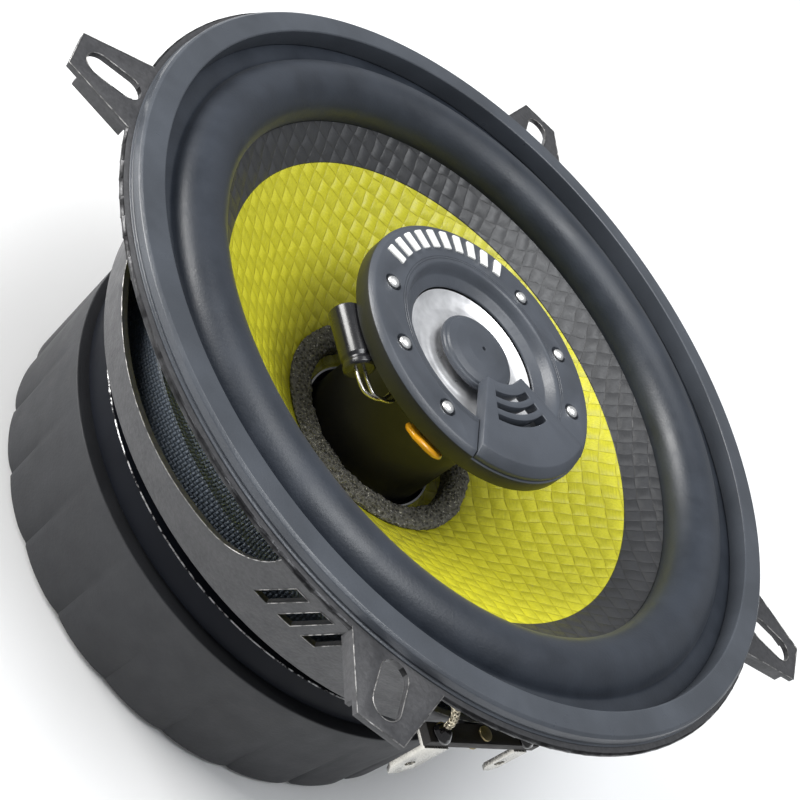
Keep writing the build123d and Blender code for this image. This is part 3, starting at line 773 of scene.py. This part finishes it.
class SPEAKER_OT_basket(bpy.types.Operator):
    """Pressed basket with eased edges, bare metal where it was sheared, and its rivets"""

    bl_idname = "speaker.basket"
    bl_label = "Basket"

    def execute(self, context):
        sizes = context.scene.speaker_frame
        coat = powder_coat_finish("black_powder_coat", sizes.coat_colour)
        sheared = bare_edge_finish("sheared_edge", (0.42, 0.41, 0.40), (0.10, 0.10, 0.10), 0.0014)
        worn_rim = bare_edge_finish("worn_rim_edge", (0.050, 0.050, 0.052), (0.012, 0.012, 0.013), 0.003)
        piece = eased_copy("basket", "pressed_basket", sizes.edge_round, coat)
        piece.data.materials.append(worn_rim)
        for face in piece.data.polygons:
            centre = face.center / MM
            radius = math.hypot(centre.x, centre.y)
            if RIM_R - 0.4 < radius < RIM_R + 0.1 and -0.05 < centre.z < 0.95:
                face.material_index = 1
        lines = self.sheared_lines(sizes.edge_round, sheared)
        settle(lines, "frame", "black_steel")
        settle(piece, "frame", "black_steel", "basket")
        zinc = plated_finish("zinc_plate", (0.45, 0.45, 0.46), 0.35)
        for node in ("post_screw", "tweeter_pot", "tweeter_pole_plate"):
            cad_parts[node].material_slots[0].material = zinc
        head = lathe(rounded([
            (0, -28.8), (2.45, -28.8), (2.55, -29.3), (2.55, -30.05), (1.6, -30.05),
            (1.6, -33.9), (0, -33.9),
        ], 0.4), 24)
        rivets = repeated_round("basket_rivet_heads", head, zinc, 4, 35 * MM,
                                math.radians(45), math.radians(90))
        settle(rivets, "frame", "bare_steel", "basket_rivets")
        return {"FINISHED"}

    @staticmethod
    def sheared_lines(radius, finish):
        """Fine bright lines that follow the sheared edges of the windows, vents and ears."""
        work = bmesh.new()
        work.from_mesh(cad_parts["basket"].data)
        bmesh.ops.remove_doubles(work, verts=work.verts, dist=MERGE_DISTANCE)
        verts, edges = [], []
        for edge in work.edges:
            middle = (edge.verts[0].co + edge.verts[1].co) / 2 / MM
            out = math.hypot(middle.x, middle.y)
            wall = WALL_FOOT[0] + (middle.z - WALL_FOOT[1]) * WALL_TAPER / WALL_HEIGHT
            on_wall = WALL_EDGES[0] < middle.z < WALL_EDGES[1] and abs(out - wall) < 0.12
            on_ear = out > RIM_R + 0.4 and middle.z > 0.85
            sharp = len(edge.link_faces) == 2 and edge.calc_face_angle() > SHARP_ANGLE
            if sharp and (on_wall or on_ear):
                start = len(verts)
                verts += [vertex.co.copy() for vertex in edge.verts]
                edges.append((start, start + 1))
        work.free()
        mesh = bpy.data.meshes.new("sheared_lines")
        mesh.from_pydata(verts, edges, [])
        joint = bmesh.new()
        joint.from_mesh(mesh)
        bmesh.ops.remove_doubles(joint, verts=joint.verts, dist=MERGE_DISTANCE)
        joint.to_mesh(mesh)
        joint.free()
        tree = RuleTree("Sheared edge")
        thick = tree.size("Line radius")
        path = tree.node("GeometryNodeMeshToCurve", tree.start.outputs[0])
        section = tree.node("GeometryNodeCurvePrimitiveCircle")
        section.inputs["Resolution"].default_value = 6
        tree.feed(section.inputs["Radius"], thick)
        bead = tree.node("GeometryNodeCurveToMesh")
        tree.feed(bead.inputs["Curve"], path.outputs[0])
        tree.feed(bead.inputs["Profile Curve"], section.outputs[0])
        bead.inputs["Fill Caps"].default_value = True
        tree.close(bead.outputs[0], finish)
        piece = show("sheared_edge_lines", mesh, finish)
        tree.apply(piece, {"Line radius": radius * 0.6})
        finish_mesh(piece.data, 80)
        return piece


class SPEAKER_OT_trim(bpy.types.Operator):
    """Moulded trim ring with a groove in its side"""

    bl_idname = "speaker.trim"
    bl_label = "Trim ring"

    def execute(self, context):
        finish = moulded_finish("trim_moulding", context.scene.speaker_frame.trim_colour, 0.32)
        mesh = lathe(rounded([
            (59.5, -0.5), (59.5, 2.95), (59.7, 3.1), (63.1, 3.1), (63.55, 2.75), (63.75, 1.7),
            (63.5, 1.35), (63.9, 1.1), (63.9, 0.92), (60.05, 0.92), (60.05, -0.5),
        ], 0.25, 4), 320, 60)
        settle(show("trim_ring_moulding", mesh, finish.material), "frame", "trim", "trim_ring")
        return {"FINISHED"}


class SPEAKER_OT_surround(bpy.types.Operator):
    """Rubber half roll from the rim's ledge to the cone's edge"""

    bl_idname = "speaker.surround"
    bl_label = "Surround"

    def execute(self, context):
        rubber = rubber_finish("surround_rubber_sheen", context.scene.speaker_suspension.rubber_colour)
        front = arc((47.15, -4.2), (51.5, 2.75), (56.3, -0.35), 30)
        back = arc((47.95, -4.3), (51.52, 1.95), (55.55, -0.85), 24)
        outline = front
        outline += [(56.6, -0.52), (57.1, -0.56), (58.6, -0.57), (60.02, -0.57), (60.02, -1.33),
                    (56.1, -1.33)]
        outline += back[::-1]
        outline += [(46.9, -5.55), (44.5, -6.4), (44.5, -6.1), (46.9, -4.77), (47.02, -4.3)]
        piece = show("surround_roll", lathe(outline, 288, 50), rubber)
        ring_blend(piece)
        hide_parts("surround")
        return {"FINISHED"}


class SPEAKER_OT_cone(bpy.types.Operator):
    """Woven cone with its dark edge"""

    bl_idname = "speaker.cone"
    bl_label = "Cone"

    def execute(self, context):
        sizes = context.scene.speaker_cone
        # The colour after the weave turn is painted shade for the gaps between tows, and the last number
        # sets the painted sheen between tow directions.
        yellow = woven_finish(
            "yellow_weave", sizes.colour, sizes.weave_pitch, sizes.weave_turn,
            (0.44, 0.40, 0.012), 0.40, 0.00028, 0.07,
        )
        dark = woven_finish(
            "dark_weave", sizes.edge_colour, sizes.weave_pitch, sizes.weave_turn,
            (0.020, 0.020, 0.022), 0.45, 0.0002, 0.12,
        )
        body = divided(rounded([
            (13.9, -25.6), (41.6, -7.7), (46.9, -3.95), (46.9, -4.7), (41.6, -8.5),
            (13.9, -26.4), (13.12, -26.4), (13.12, -25.6),
        ], 0.25), 1.2)
        settle(show("woven_cone", lathe(body), yellow), "moving_cone", "woven_yellow", "cone")
        band = divided([
            (41.55, -7.74), (41.62, -7.56), (46.9, -3.8), (46.9, -3.95),
        ], 0.9)
        settle(show("woven_edge_band", lathe(band), dark), "moving_cone", "woven_dark",
               "cone_edge_band")
        former = turned_finish("former_foil", (0.55, 0.55, 0.56), 0.4, 0.0006, 0.00001)
        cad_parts["coil_former"].material_slots[0].material = former
        wire = wound_finish("enamelled_wire", (0.55, 0.24, 0.09), 0.0003)
        for node in ("coil_winding", "tweeter_coil"):
            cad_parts[node].material_slots[0].material = wire
        return {"FINISHED"}


class SPEAKER_OT_foam(bpy.types.Operator):
    """Open-cell foam ring in the cone's throat"""

    bl_idname = "speaker.foam"
    bl_label = "Throat foam"

    def execute(self, context):
        depth = context.scene.speaker_cone.foam_roughness
        outline = divided(rounded([
            (14.75, -24.95), (18.9, -22.25), (18.75, -21.75), (17.6, -21.25), (15.9, -21.2),
            (15.0, -21.6), (14.75, -22.4),
        ], 0.7, 5), 0.32)
        mesh = lathe(outline, 420)
        for vertex in mesh.vertices:
            place = vertex.co / MM
            swell = noise.noise(place * 0.35) * 0.9 + noise.noise(place * 1.4) * 0.8
            pits = noise.noise(place * 3.1)
            out = Vector((place.x, place.y, 0)).normalized()
            lift = depth * (swell + min(pits, 0.1) * 1.6)
            vertex.co += (out * (1 if math.hypot(place.x, place.y) > 16.8 else -1)
                          + Vector((0, 0, 0.9))) * lift * 0.75
        mesh.update()
        smooth(mesh, 60)
        piece = show("throat_foam_ring", mesh, foam_finish("open_cell_foam", (0.112, 0.108, 0.098)))
        settle(piece, "moving_cone", "foam", "throat_foam")
        return {"FINISHED"}


class SPEAKER_OT_spider(bpy.types.Operator):
    """Corrugated spider of coarse cloth"""

    bl_idname = "speaker.spider"
    bl_label = "Spider"

    def execute(self, context):
        sizes = context.scene.speaker_suspension
        # The colour after the weave turn is painted shade for the gaps between tows, and the last number
        # sets the painted sheen between tow directions.
        cloth = woven_finish("spider_weave", sizes.spider_colour, 0.00062, 0.3,
                             (0.004, 0.005, 0.007), 0.6, 0.00016, 0.18, wrapped=True)
        swing = sizes.spider_swing / MM
        top = [(13.12, -26.9), (15.1, -26.9)]
        steps = sizes.spider_rolls * 12
        for step in range(1, steps):
            share = step / steps
            wave = math.sin(share * math.tau * sizes.spider_rolls)
            fade = min(1.0, share * 9, (1 - share) * 9)
            top.append((15.1 + share * 30.7, -26.9 + share * 7.55 + wave * swing * fade))
        top += [(46.1, -19.35), (46.45, -19.75), (47.15, -24.0), (47.6, -24.75), (49.0, -24.75)]
        low = [(r, z - 0.45) for r, z in top[:-4]]
        low += [(46.0, -19.95), (46.7, -24.4), (47.25, -25.2), (49.0, -25.2)]
        low.reverse()
        piece = show("spider_disc", lathe(top + low, 224, 60), cloth)
        ring_blend(piece)
        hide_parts("spider")
        return {"FINISHED"}


class SPEAKER_OT_motor(bpy.types.Operator):
    """Plates, magnet and the moulded cover with its shallow panels"""

    bl_idname = "speaker.motor"
    bl_label = "Magnet and cover"

    def execute(self, context):
        sizes = context.scene.speaker_motor
        gloss = moulded_finish("gloss_black_plate", (0.006, 0.007, 0.010), 0.4, 0.004, 0.00001,
                               Specular_IOR_Level=0.06).material
        worn = bare_edge_finish("worn_plate_edge", (0.80, 0.80, 0.80), (0.01, 0.01, 0.012), 0.0009)
        plate = lathe(rounded([
            (14.5, -31.0), (46.36, -31.0), (46.5, -31.12), (46.5, -35.95), (14.5, -35.95),
        ], 0.04), 288)
        piece = show("gap_plate", plate, gloss)
        piece.data.materials.append(worn)
        for face in piece.data.polygons:
            slanted = 0.3 < face.normal.z < 0.95
            if slanted and math.hypot(face.center.x, face.center.y) > 45.8 * MM:
                face.material_index = 1
        settle(piece, "frame", "plate_steel", "top_plate")
        ferrite = moulded_finish("grey_ferrite", (0.05, 0.05, 0.055), 0.7, 0.0008, 0.00006).material
        for node in ("magnet", "tweeter_magnet"):
            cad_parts[node].material_slots[0].material = ferrite
        zinc = turned_finish("turned_zinc", (0.42, 0.42, 0.43), 0.32, 0.0009, 0.00002)
        yoke = lathe(rounded([
            (2.15, -31.05), (12.4, -31.05), (12.4, -52.0), (43.95, -52.0), (43.95, -56.98),
            (3.85, -56.98), (3.85, -54.6), (2.15, -54.6),
        ], 0.25), FINE_STEPS)
        settle(show("yoke_plate", yoke, zinc), "frame", "bare_steel", "yoke")
        cover = divided(rounded([
            (45.35, -36.85), (48.05, -36.85), (47.15, -58.4), (46.0, -59.5), (21.0, -59.5),
            (21.0, -57.05), (45.35, -57.05),
        ], 0.3, 4), 2.4)
        finish = moulded_finish("cover_moulding", sizes.cover_colour, 0.55, 0.0005, 0.00004)
        piece = show("panelled_cover", lathe(cover, 24 * 20, 24), finish.material)
        self.panel_rule(finish.material).apply(piece, {
            "Panels": float(sizes.cover_panels), "Step": sizes.cover_step,
            "Front": -37.5 * MM, "Back": -58.0 * MM, "Inside": 45.6 * MM,
        })
        smooth(piece.data, 24)
        settle(piece, "frame", "cover_rubber", "magnet_cover")
        return {"FINISHED"}

    @staticmethod
    def panel_rule(material):
        """Panels that slope inwards round the cover, deepest at the back."""
        tree = RuleTree("Cover panels")
        panels = tree.size("Panels")
        step = tree.size("Step")
        front = tree.size("Front")
        back = tree.size("Back")
        inside = tree.size("Inside")
        place = tree.node("GeometryNodeInputPosition").outputs[0]
        parts = tree.node("ShaderNodeSeparateXYZ", place)
        turn = tree.math("ARCTAN2", parts.outputs[1], parts.outputs[0])
        share = tree.math("FRACT", tree.math("MULTIPLY", tree.math("DIVIDE", turn, math.tau), panels))
        rise = tree.node("ShaderNodeMapRange", parts.outputs[2], front, back, 0.0, 1.0).outputs[0]
        flat = tree.node("ShaderNodeCombineXYZ", parts.outputs[0], parts.outputs[1]).outputs[0]
        length = tree.node("ShaderNodeVectorMath", flat, operation="LENGTH").outputs["Value"]
        outer = tree.node("ShaderNodeMapRange", length, inside,
                          tree.math("ADD", inside, 0.0008), 0.0, 1.0).outputs[0]
        bow = tree.math("ABSOLUTE", tree.math("SUBTRACT", tree.math("MULTIPLY", share, 2.0), 1.0))
        lean = tree.math("ADD", tree.math("MULTIPLY", share, 0.65), 0.35)
        hollow = tree.math("MULTIPLY", tree.math("POWER", bow, 3.0), lean)
        drop = tree.math("MULTIPLY", tree.math("MULTIPLY", hollow, step), rise)
        drop = tree.math("MULTIPLY", tree.math("MULTIPLY", drop, outer), -1.0)
        way = tree.node("ShaderNodeVectorMath", flat, operation="NORMALIZE").outputs[0]
        shift = tree.node("ShaderNodeVectorMath", way, operation="SCALE")
        tree.feed(shift.inputs["Scale"], drop)
        result = tree.node("GeometryNodeSetPosition", tree.start.outputs[0], None, None,
                           shift.outputs[0])
        tree.close(result.outputs[0], material)
        return tree


class SPEAKER_OT_tweeter(bpy.types.Operator):
    """Tweeter ring, wedge, plug, dish, post and housing"""

    bl_idname = "speaker.tweeter"
    bl_label = "Tweeter"

    def execute(self, context):
        sizes = context.scene.speaker_tweeter
        plastic = moulded_finish("tweeter_moulding", sizes.plastic_colour, 0.38, 0.0003, 0.000025)
        # Painted shade: a darker copy of the same moulding, for faces that turn away from the light.
        shaded = moulded_finish("ring_side_moulding", sizes.painted_shade_colour, 0.45, 0.0003, 0.000025)
        face = moulded_finish("grooved_face", sizes.plastic_colour, 0.38, 0.0003, 0.000025)
        radius = face.radius()
        for groove in (0.01625, 0.01665):
            gap = face.math("ABSOLUTE", face.math("SUBTRACT", radius, groove))
            face.relief(face.span(gap, 0.00006, 0.00014), 0.00012)
        ring = eased_copy("tweeter_ring", "bezel_ring", sizes.edge_round, face.material)
        ring.data.materials.append(shaded.material)
        # Painted shade: faces down the ring's outer side take the darker copy of the moulding.
        for part in ring.data.polygons:
            if part.normal.z < 0.35 and math.hypot(part.center.x, part.center.y) > 21 * MM:
                part.material_index = 1
        settle(ring, "frame", "tweeter_plastic", "tweeter_ring")
        wedge = eased_copy("tweeter_bridge", "raised_wedge", sizes.edge_round, plastic.material)
        settle(wedge, "frame", "tweeter_plastic", "tweeter_bridge")
        plug = lathe(rounded([
            (0.0, 2.0), (0.32, 2.0), (0.36, 2.98), (3.0, 2.78), (5.2, 2.34), (6.35, 1.95), (6.6, 1.62),
            (6.85, 1.58), (7.08, 1.3), (7.08, 0.72), (6.2, 0.68), (6.1, 0.36), (0.0, 0.36),
        ], 0.12, 3), FINE_STEPS, 24)
        plug = moved(plug, Matrix.Translation((0, 0, -0.85 * MM)))
        settle(show("domed_plug", plug, plastic.material), "frame", "tweeter_plastic", "phase_plug")
        silver = turned_finish("satin_dish", (0.90, 0.90, 0.91), 0.32, 0.0011, 0.000012, 0.72)
        bowl = arc((12.6, -0.6), (11.3, -1.45), (9.6, -1.88), 10)
        bowl += arc((9.3, -1.88), (7.2, -1.6), (6.1, -1.58), 8)[1:] + [(0, -1.3)]
        dish = bowl + [(r, z - 0.28) for r, z in reversed(bowl)]
        settle(show("spun_dish", lathe(dish, FINE_STEPS), silver), "tweeter_dome",
               "dish_metal", "tweeter_diaphragm")
        tub = lathe(rounded([
            (0, -5.35), (14.0, -5.35), (14.0, -1.27), (15.5, -1.27), (15.5, -6.2), (14.9, -6.85),
            (0, -6.85),
        ], 0.3), FINE_STEPS)
        # Painted shade: the housing down in the bowl takes the darker copy of the moulding.
        settle(show("motor_tub", tub, shaded.material), "frame", "tweeter_plastic", "tweeter_tub")
        deep = moulded_finish("deep_black", (0.009, 0.009, 0.011), 0.4, 0.0003, 0.00002).material
        post = lathe(rounded([
            (2.6, -6.87), (12.0, -6.87), (12.0, -31.0), (2.6, -31.0),
        ], 0.2), FINE_STEPS)
        settle(show("tweeter_column", post, deep), "frame", "tweeter_plastic",
               "tweeter_post")
        return {"FINISHED"}


class SPEAKER_OT_studs(bpy.types.Operator):
    """Bright studs and plain raised bars round the tweeter's ring"""

    bl_idname = "speaker.studs"
    bl_label = "Studs and bars"

    def execute(self, context):
        sizes = context.scene.speaker_tweeter
        bright = plated_finish("bright_stud", (0.95, 0.95, 0.94), 0.38, dull=0.92)
        white = moulded_finish("white_ink", (0.80, 0.80, 0.78), 0.5).material
        parts = []
        for side in (-1, 1):
            stud = lathe(rounded([
                (0, 3.0), (0.45, 2.93), (0.85, 2.72), (1.04, 2.45), (1.04, 1.1), (0, 1.1),
            ], 0.12), 20)
            parts.append(repeated_round(
                f"studs_{'left' if side < 0 else 'right'}", stud, bright, 3, 18.8 * MM,
                sizes.wedge_turn + side * sizes.stud_first, side * sizes.stud_step,
            ))
        settle(parts[0], "frame", "stud_metal", "tweeter_studs")
        settle(parts[1], "frame", "stud_metal")
        bar = moved(box_mesh((3.3, 1.5, 0.5), 0.18), Matrix.Translation((0, 0, 2.55 * MM)))
        first = sizes.wedge_turn + math.pi - sizes.bar_step * (sizes.bar_count - 1) / 2
        bars = repeated_round("plain_bars", bar, white, sizes.bar_count, 19.9 * MM, first,
                              sizes.bar_step)
        settle(bars, "frame", "stud_metal")
        return {"FINISHED"}


class SPEAKER_OT_crossover(bpy.types.Operator):
    """Capacitor and fuse under the tweeter's ring, with their leads"""

    bl_idname = "speaker.crossover"
    bl_label = "Capacitor and fuse"

    def execute(self, context):
        sizes = context.scene.speaker_terminals
        sleeve = moulded_finish("gloss_sleeve", (0.012, 0.012, 0.014), 0.26, 0.003, 0.00001,
                                Coat_Weight=0.4, Coat_Roughness=0.18).material
        tin = plated_finish("tinned_wire", (0.62, 0.60, 0.56), 0.28)
        can = lathe(rounded([
            (0, 5.3), (2.1, 5.3), (2.5, 5.05), (2.55, 4.4), (2.28, 3.95), (2.28, 3.7),
            (2.55, 3.2), (2.55, -5.0), (2.2, -5.28), (0, -5.28),
        ], 0.25), SMALL_STEPS)
        turn = Matrix.Rotation(math.radians(CAP_TURN), 4, "Z")
        along = Matrix.Rotation(math.radians(-90), 4, "X")
        place = Matrix.Translation((CAP_R * MM, 0, CAP_Z * MM))
        moved(can, along, place, turn)
        settle(show("capacitor_can", can, sleeve), "frame", "sleeve_black", "capacitor")
        routes = [[
            (CAP_R + side, 5.2, CAP_Z), (CAP_R + side, 7.6, CAP_Z), (21.4 + side, 9.2, -4.25),
            (17.6 + side, 9.5, -4.65), (14.2 + side, 6.4, -4.65), (13.0 + side, 6.2, -4.65),
        ] for side in (-0.9, 0.9)]
        settle(show("capacitor_wires", bent_wires(routes, WIRE_R, turn), tin), "frame",
               "tinned_wire", "capacitor_leads")
        orange = moulded_finish("orange_coating", sizes.fuse_colour, 0.22, 0.002, 0.00003,
                                Coat_Weight=0.5, Coat_Roughness=0.1).material
        fuse = lathe(rounded([
            (0, 0.72), (2.3, 0.7), (3.35, 0.45), (3.68, 0.0), (3.35, -0.45), (2.3, -0.7), (0, -0.72),
        ], 0.5, 5), 64)
        for vertex in fuse.vertices:
            vertex.co.z += 0.00008 * noise.noise(vertex.co * 900)
        turn = Matrix.Rotation(math.radians(FUSE_TURN), 4, "Z")
        tilt = Matrix.Rotation(math.radians(-FUSE_TILT), 4, "Y")
        place = Matrix.Translation((FUSE_R * MM, 0, FUSE_Z * MM))
        moved(fuse, tilt, place, turn)
        smooth(fuse, 60)
        settle(show("coated_fuse", fuse, orange), "frame", "fuse_orange", "tweeter_fuse")
        routes = [[
            (17.4, side, -5.3), (16.6, side, -5.55), (15.9, side * 1.15, -5.8),
            (15.0, side * 1.2, -5.95),
        ] for side in (-1.6, 1.6)]
        settle(show("fuse_wires", bent_wires(routes, WIRE_R, turn), tin), "frame",
               "tinned_wire", "fuse_leads")
        return {"FINISHED"}


class SPEAKER_OT_terminals(bpy.types.Operator):
    """Terminal board, blade tabs, eyelets and braided leads"""

    bl_idname = "speaker.terminals"
    bl_label = "Terminals and leads"

    def execute(self, context):
        sizes = context.scene.speaker_terminals
        board = moulded_finish("phenolic_board", (0.018, 0.015, 0.013), 0.6, 0.0005, 0.00005).material
        tin = plated_finish("tinned_blade", (0.62, 0.60, 0.55), 0.24, 0.004, 0.00003, 0.75)
        brass = plated_finish("dull_eyelet", (0.36, 0.30, 0.16), 0.4, 0.001)
        blob = moulded_finish("solder_resist", (0.012, 0.010, 0.010), 0.12, 0.002, 0.00003,
                              Coat_Weight=0.7, Coat_Roughness=0.05).material
        settle(eased_copy("terminal_board", "pressed_board", 0.0002, board), "frame", "phenolic",
               "terminal_board")
        for node in ("terminal_tab_positive", "terminal_tab_negative"):
            settle(eased_copy(node, node.replace("terminal_tab", "blade"), 0.00016, tin), "frame",
                   "tinned_blade", node)
        settle(eased_copy("terminal_eyelets", "rolled_eyelets", 0.00018, brass), "frame",
               "eyelet_brass", "terminal_eyelets")
        drops = []
        turn = Matrix.Rotation(math.radians(BOARD_TURN), 4, "Z")
        for side in (-BOARD_SIDE, BOARD_SIDE):
            drop = lathe(rounded([
                (0, 1.5), (0.7, 1.3), (1.25, 0.7), (1.6, 0.1), (1.6, -0.3), (0, -0.3),
            ], 0.3), 40)
            for vertex in drop.vertices:
                vertex.co *= 1 + 0.12 * noise.noise(vertex.co * 700 + Vector((side, 0, 0)))
            place = Matrix.Translation((54.6 * MM, side * MM, -18.4 * MM))
            drops.append(moved(drop, place, turn))
        settle(show("solder_drops", joined(drops, "drops"), blob), "frame", "braid")
        braid = plated_finish("tinned_braid", (0.70, 0.63, 0.48), 0.3, 0.0007, 0.00004, 0.45)
        for node, side, turns in (
            ("tinsel_lead_positive", -BOARD_SIDE, (-71, -76, -80)),
            ("tinsel_lead_negative", BOARD_SIDE, (-44, -39, -35)),
        ):
            foot = turn @ Vector((54.04 * MM, side * MM, -18.05 * MM))
            route = [foot, foot + Vector((0, 0, 3.4 * MM))]
            for radius, angle, height in (
                (52.4, turns[0], -11.6), (46.3, turns[1], -11.05), (38.6, turns[2], -13.4),
                (34.6, turns[2], -12.75),
            ):
                a = math.radians(angle)
                route.append(Vector((radius * math.cos(a), radius * math.sin(a), height)) * MM)
            piece = self.braided(spline_points(route, 40), sizes, node.replace("tinsel", "braided"))
            piece.data.materials.append(braid)
            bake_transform(piece)
            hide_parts(node)
        return {"FINISHED"}

    @staticmethod
    def braided(path, sizes, name):
        """Strands wound both ways round a path, passing over and under each other."""
        lengths = [0.0]
        for first, second in zip(path, path[1:]):
            lengths.append(lengths[-1] + (second - first).length)
        sides, others = [], []
        side = (path[1] - path[0]).orthogonal().normalized()
        for index in range(len(path)):
            ahead = (path[min(index + 1, len(path) - 1)] - path[max(index - 1, 0)]).normalized()
            side = (side - ahead * side.dot(ahead)).normalized()
            sides.append(side.copy())
            others.append(ahead.cross(side))
        strands = []
        thick = sizes.lead_radius * 0.24
        for way in (-1, 1):
            for number in range(sizes.strand_count):
                start = math.tau * number / sizes.strand_count
                points = []
                for index, point in enumerate(path):
                    angle = start + way * lengths[index] / 0.0032 * math.tau
                    lift = 0.07 * way * math.sin(angle * sizes.strand_count)
                    reach = sizes.lead_radius * (0.66 + lift)
                    points.append(point + (sides[index] * math.cos(angle)
                                           + others[index] * math.sin(angle)) * reach)
                strands.append(tube(points, thick, 6))
        strands.append(tube(path, sizes.lead_radius * 0.55, 10))
        mesh = joined(strands, name)
        mesh.materials.clear()
        return show(name, mesh)


class SPEAKER_OT_stage(bpy.types.Operator):
    """Pale floor, soft studio light and the camera"""

    bl_idname = "speaker.stage"
    bl_label = "Floor, light and camera"

    def execute(self, context):
        sizes = context.scene.speaker_stage
        floor = Finish("pale_floor", sizes.floor_colour, 0.85)
        drift = floor.span(floor.grain(0.4, 2), 0.3, 0.7)
        floor.paint(floor.blend(drift, sizes.floor_colour, floor.shade(0.985)))
        floor = floor.material
        grid = bpy.data.meshes.new("floor")
        reach = 6.0
        corners = ((-reach, -reach), (reach, -reach), (reach, reach), (-reach, reach))
        grid.from_pydata([(x, y, FLOOR_Z) for x, y in corners], [], [(0, 1, 2, 3)])
        show("floor", grid, floor)
        world = bpy.data.worlds.new("studio")
        world.use_nodes = True
        sky = world.node_tree.nodes["Background"]
        sky.inputs["Color"].default_value = (0.93, 0.96, 1.0, 1)
        sky.inputs["Strength"].default_value = 0.34
        context.scene.world = world
        context.scene.view_settings.view_transform = "Standard"
        turn, rise, roll = (math.radians(a) for a in (CAMERA_TURN, CAMERA_RISE, CAMERA_ROLL))
        back = Vector((math.sin(turn) * math.cos(rise), -math.cos(turn) * math.cos(rise),
                       math.sin(rise)))
        level = Vector((math.cos(turn), math.sin(turn), 0))
        upright = back.cross(level)
        right = math.cos(roll) * level + math.sin(roll) * upright
        up = -math.sin(roll) * level + math.cos(roll) * upright
        lens = bpy.data.cameras.new("camera")
        lens.lens = sizes.lens
        lens.sensor_width = 36
        camera = bpy.data.objects.new("camera", lens)
        context.scene.collection.objects.link(camera)
        spot = back * CAMERA_BACK + right * CAMERA_RIGHT + up * CAMERA_UP
        spot.z += CAMERA_LIFT
        axes = Matrix((right, up, back)).transposed().to_4x4()
        camera.matrix_world = Matrix.Translation(spot) @ axes
        context.scene.camera = camera
        for name, way, distance, size, power, tint in (
            ("key", -0.45 * right + 0.8 * up + 0.35 * back, 0.8, 0.45, sizes.key_power,
             (1.0, 0.99, 0.97)),
            ("side", -1.0 * right - 0.1 * up + 0.45 * back, 0.7, 0.35, sizes.key_power * 0.4,
             (0.90, 0.95, 1.0)),
            ("fill", 0.8 * right + 0.35 * up + 0.9 * back, 0.9, 0.5, sizes.key_power * 0.45,
             (0.94, 0.97, 1.0)),
            ("top", Vector((0, 0, 1)), 1.4, 1.2, sizes.key_power * 1.2, (1.0, 1.0, 1.0)),
        ):
            light = bpy.data.lights.new(name, "AREA")
            light.energy = power
            light.size = size
            light.color = tint
            lamp = bpy.data.objects.new(name, light)
            context.scene.collection.objects.link(lamp)
            place = way.normalized() * distance
            lamp.matrix_world = (Matrix.Translation(place)
                                 @ place.to_track_quat("Z", "Y").to_matrix().to_4x4())
        return {"FINISHED"}


class SPEAKER_PT_panel(bpy.types.Panel):
    """The speaker's sizes and its building steps"""

    bl_label = "Coaxial speaker"
    bl_idname = "SPEAKER_PT_panel"
    bl_space_type = "VIEW_3D"
    bl_region_type = "UI"
    bl_category = "Speaker"

    def draw(self, context):
        layout = self.layout
        for name, group in SETTINGS.items():
            box = layout.box()
            box.label(text=group.__doc__.split(",")[0].rstrip("."))
            settings = getattr(context.scene, name)
            for key in group.__annotations__:
                box.prop(settings, key)
        for operator in OPERATORS:
            layout.operator(operator.bl_idname)


SETTINGS = {
    "speaker_cone": ConeSettings,
    "speaker_suspension": SuspensionSettings,
    "speaker_frame": FrameSettings,
    "speaker_motor": MotorSettings,
    "speaker_tweeter": TweeterSettings,
    "speaker_terminals": TerminalSettings,
    "speaker_stage": StageSettings,
}

OPERATORS = (
    SPEAKER_OT_stage,
    SPEAKER_OT_basket,
    SPEAKER_OT_trim,
    SPEAKER_OT_surround,
    SPEAKER_OT_cone,
    SPEAKER_OT_foam,
    SPEAKER_OT_spider,
    SPEAKER_OT_motor,
    SPEAKER_OT_tweeter,
    SPEAKER_OT_studs,
    SPEAKER_OT_crossover,
    SPEAKER_OT_terminals,
)


def register():
    """Register the settings, the building steps and the panel."""
    for name, group in SETTINGS.items():
        bpy.utils.register_class(group)
        setattr(bpy.types.Scene, name, PointerProperty(type=group))
    for operator in OPERATORS:
        bpy.utils.register_class(operator)
    bpy.utils.register_class(SPEAKER_PT_panel)


def unregister():
    """Take them away again."""
    bpy.utils.unregister_class(SPEAKER_PT_panel)
    for operator in reversed(OPERATORS):
        bpy.utils.unregister_class(operator)
    for name, group in reversed(SETTINGS.items()):
        delattr(bpy.types.Scene, name)
        bpy.utils.unregister_class(group)


def main():
    """Build every piece in order."""
    register()
    bpy.ops.speaker.stage()
    bpy.ops.speaker.basket()
    bpy.ops.speaker.trim()
    bpy.ops.speaker.surround()
    bpy.ops.speaker.cone()
    bpy.ops.speaker.foam()
    bpy.ops.speaker.spider()
    bpy.ops.speaker.motor()
    bpy.ops.speaker.tweeter()
    bpy.ops.speaker.studs()
    bpy.ops.speaker.crossover()
    bpy.ops.speaker.terminals()


if __name__ == "__main__":
    main()
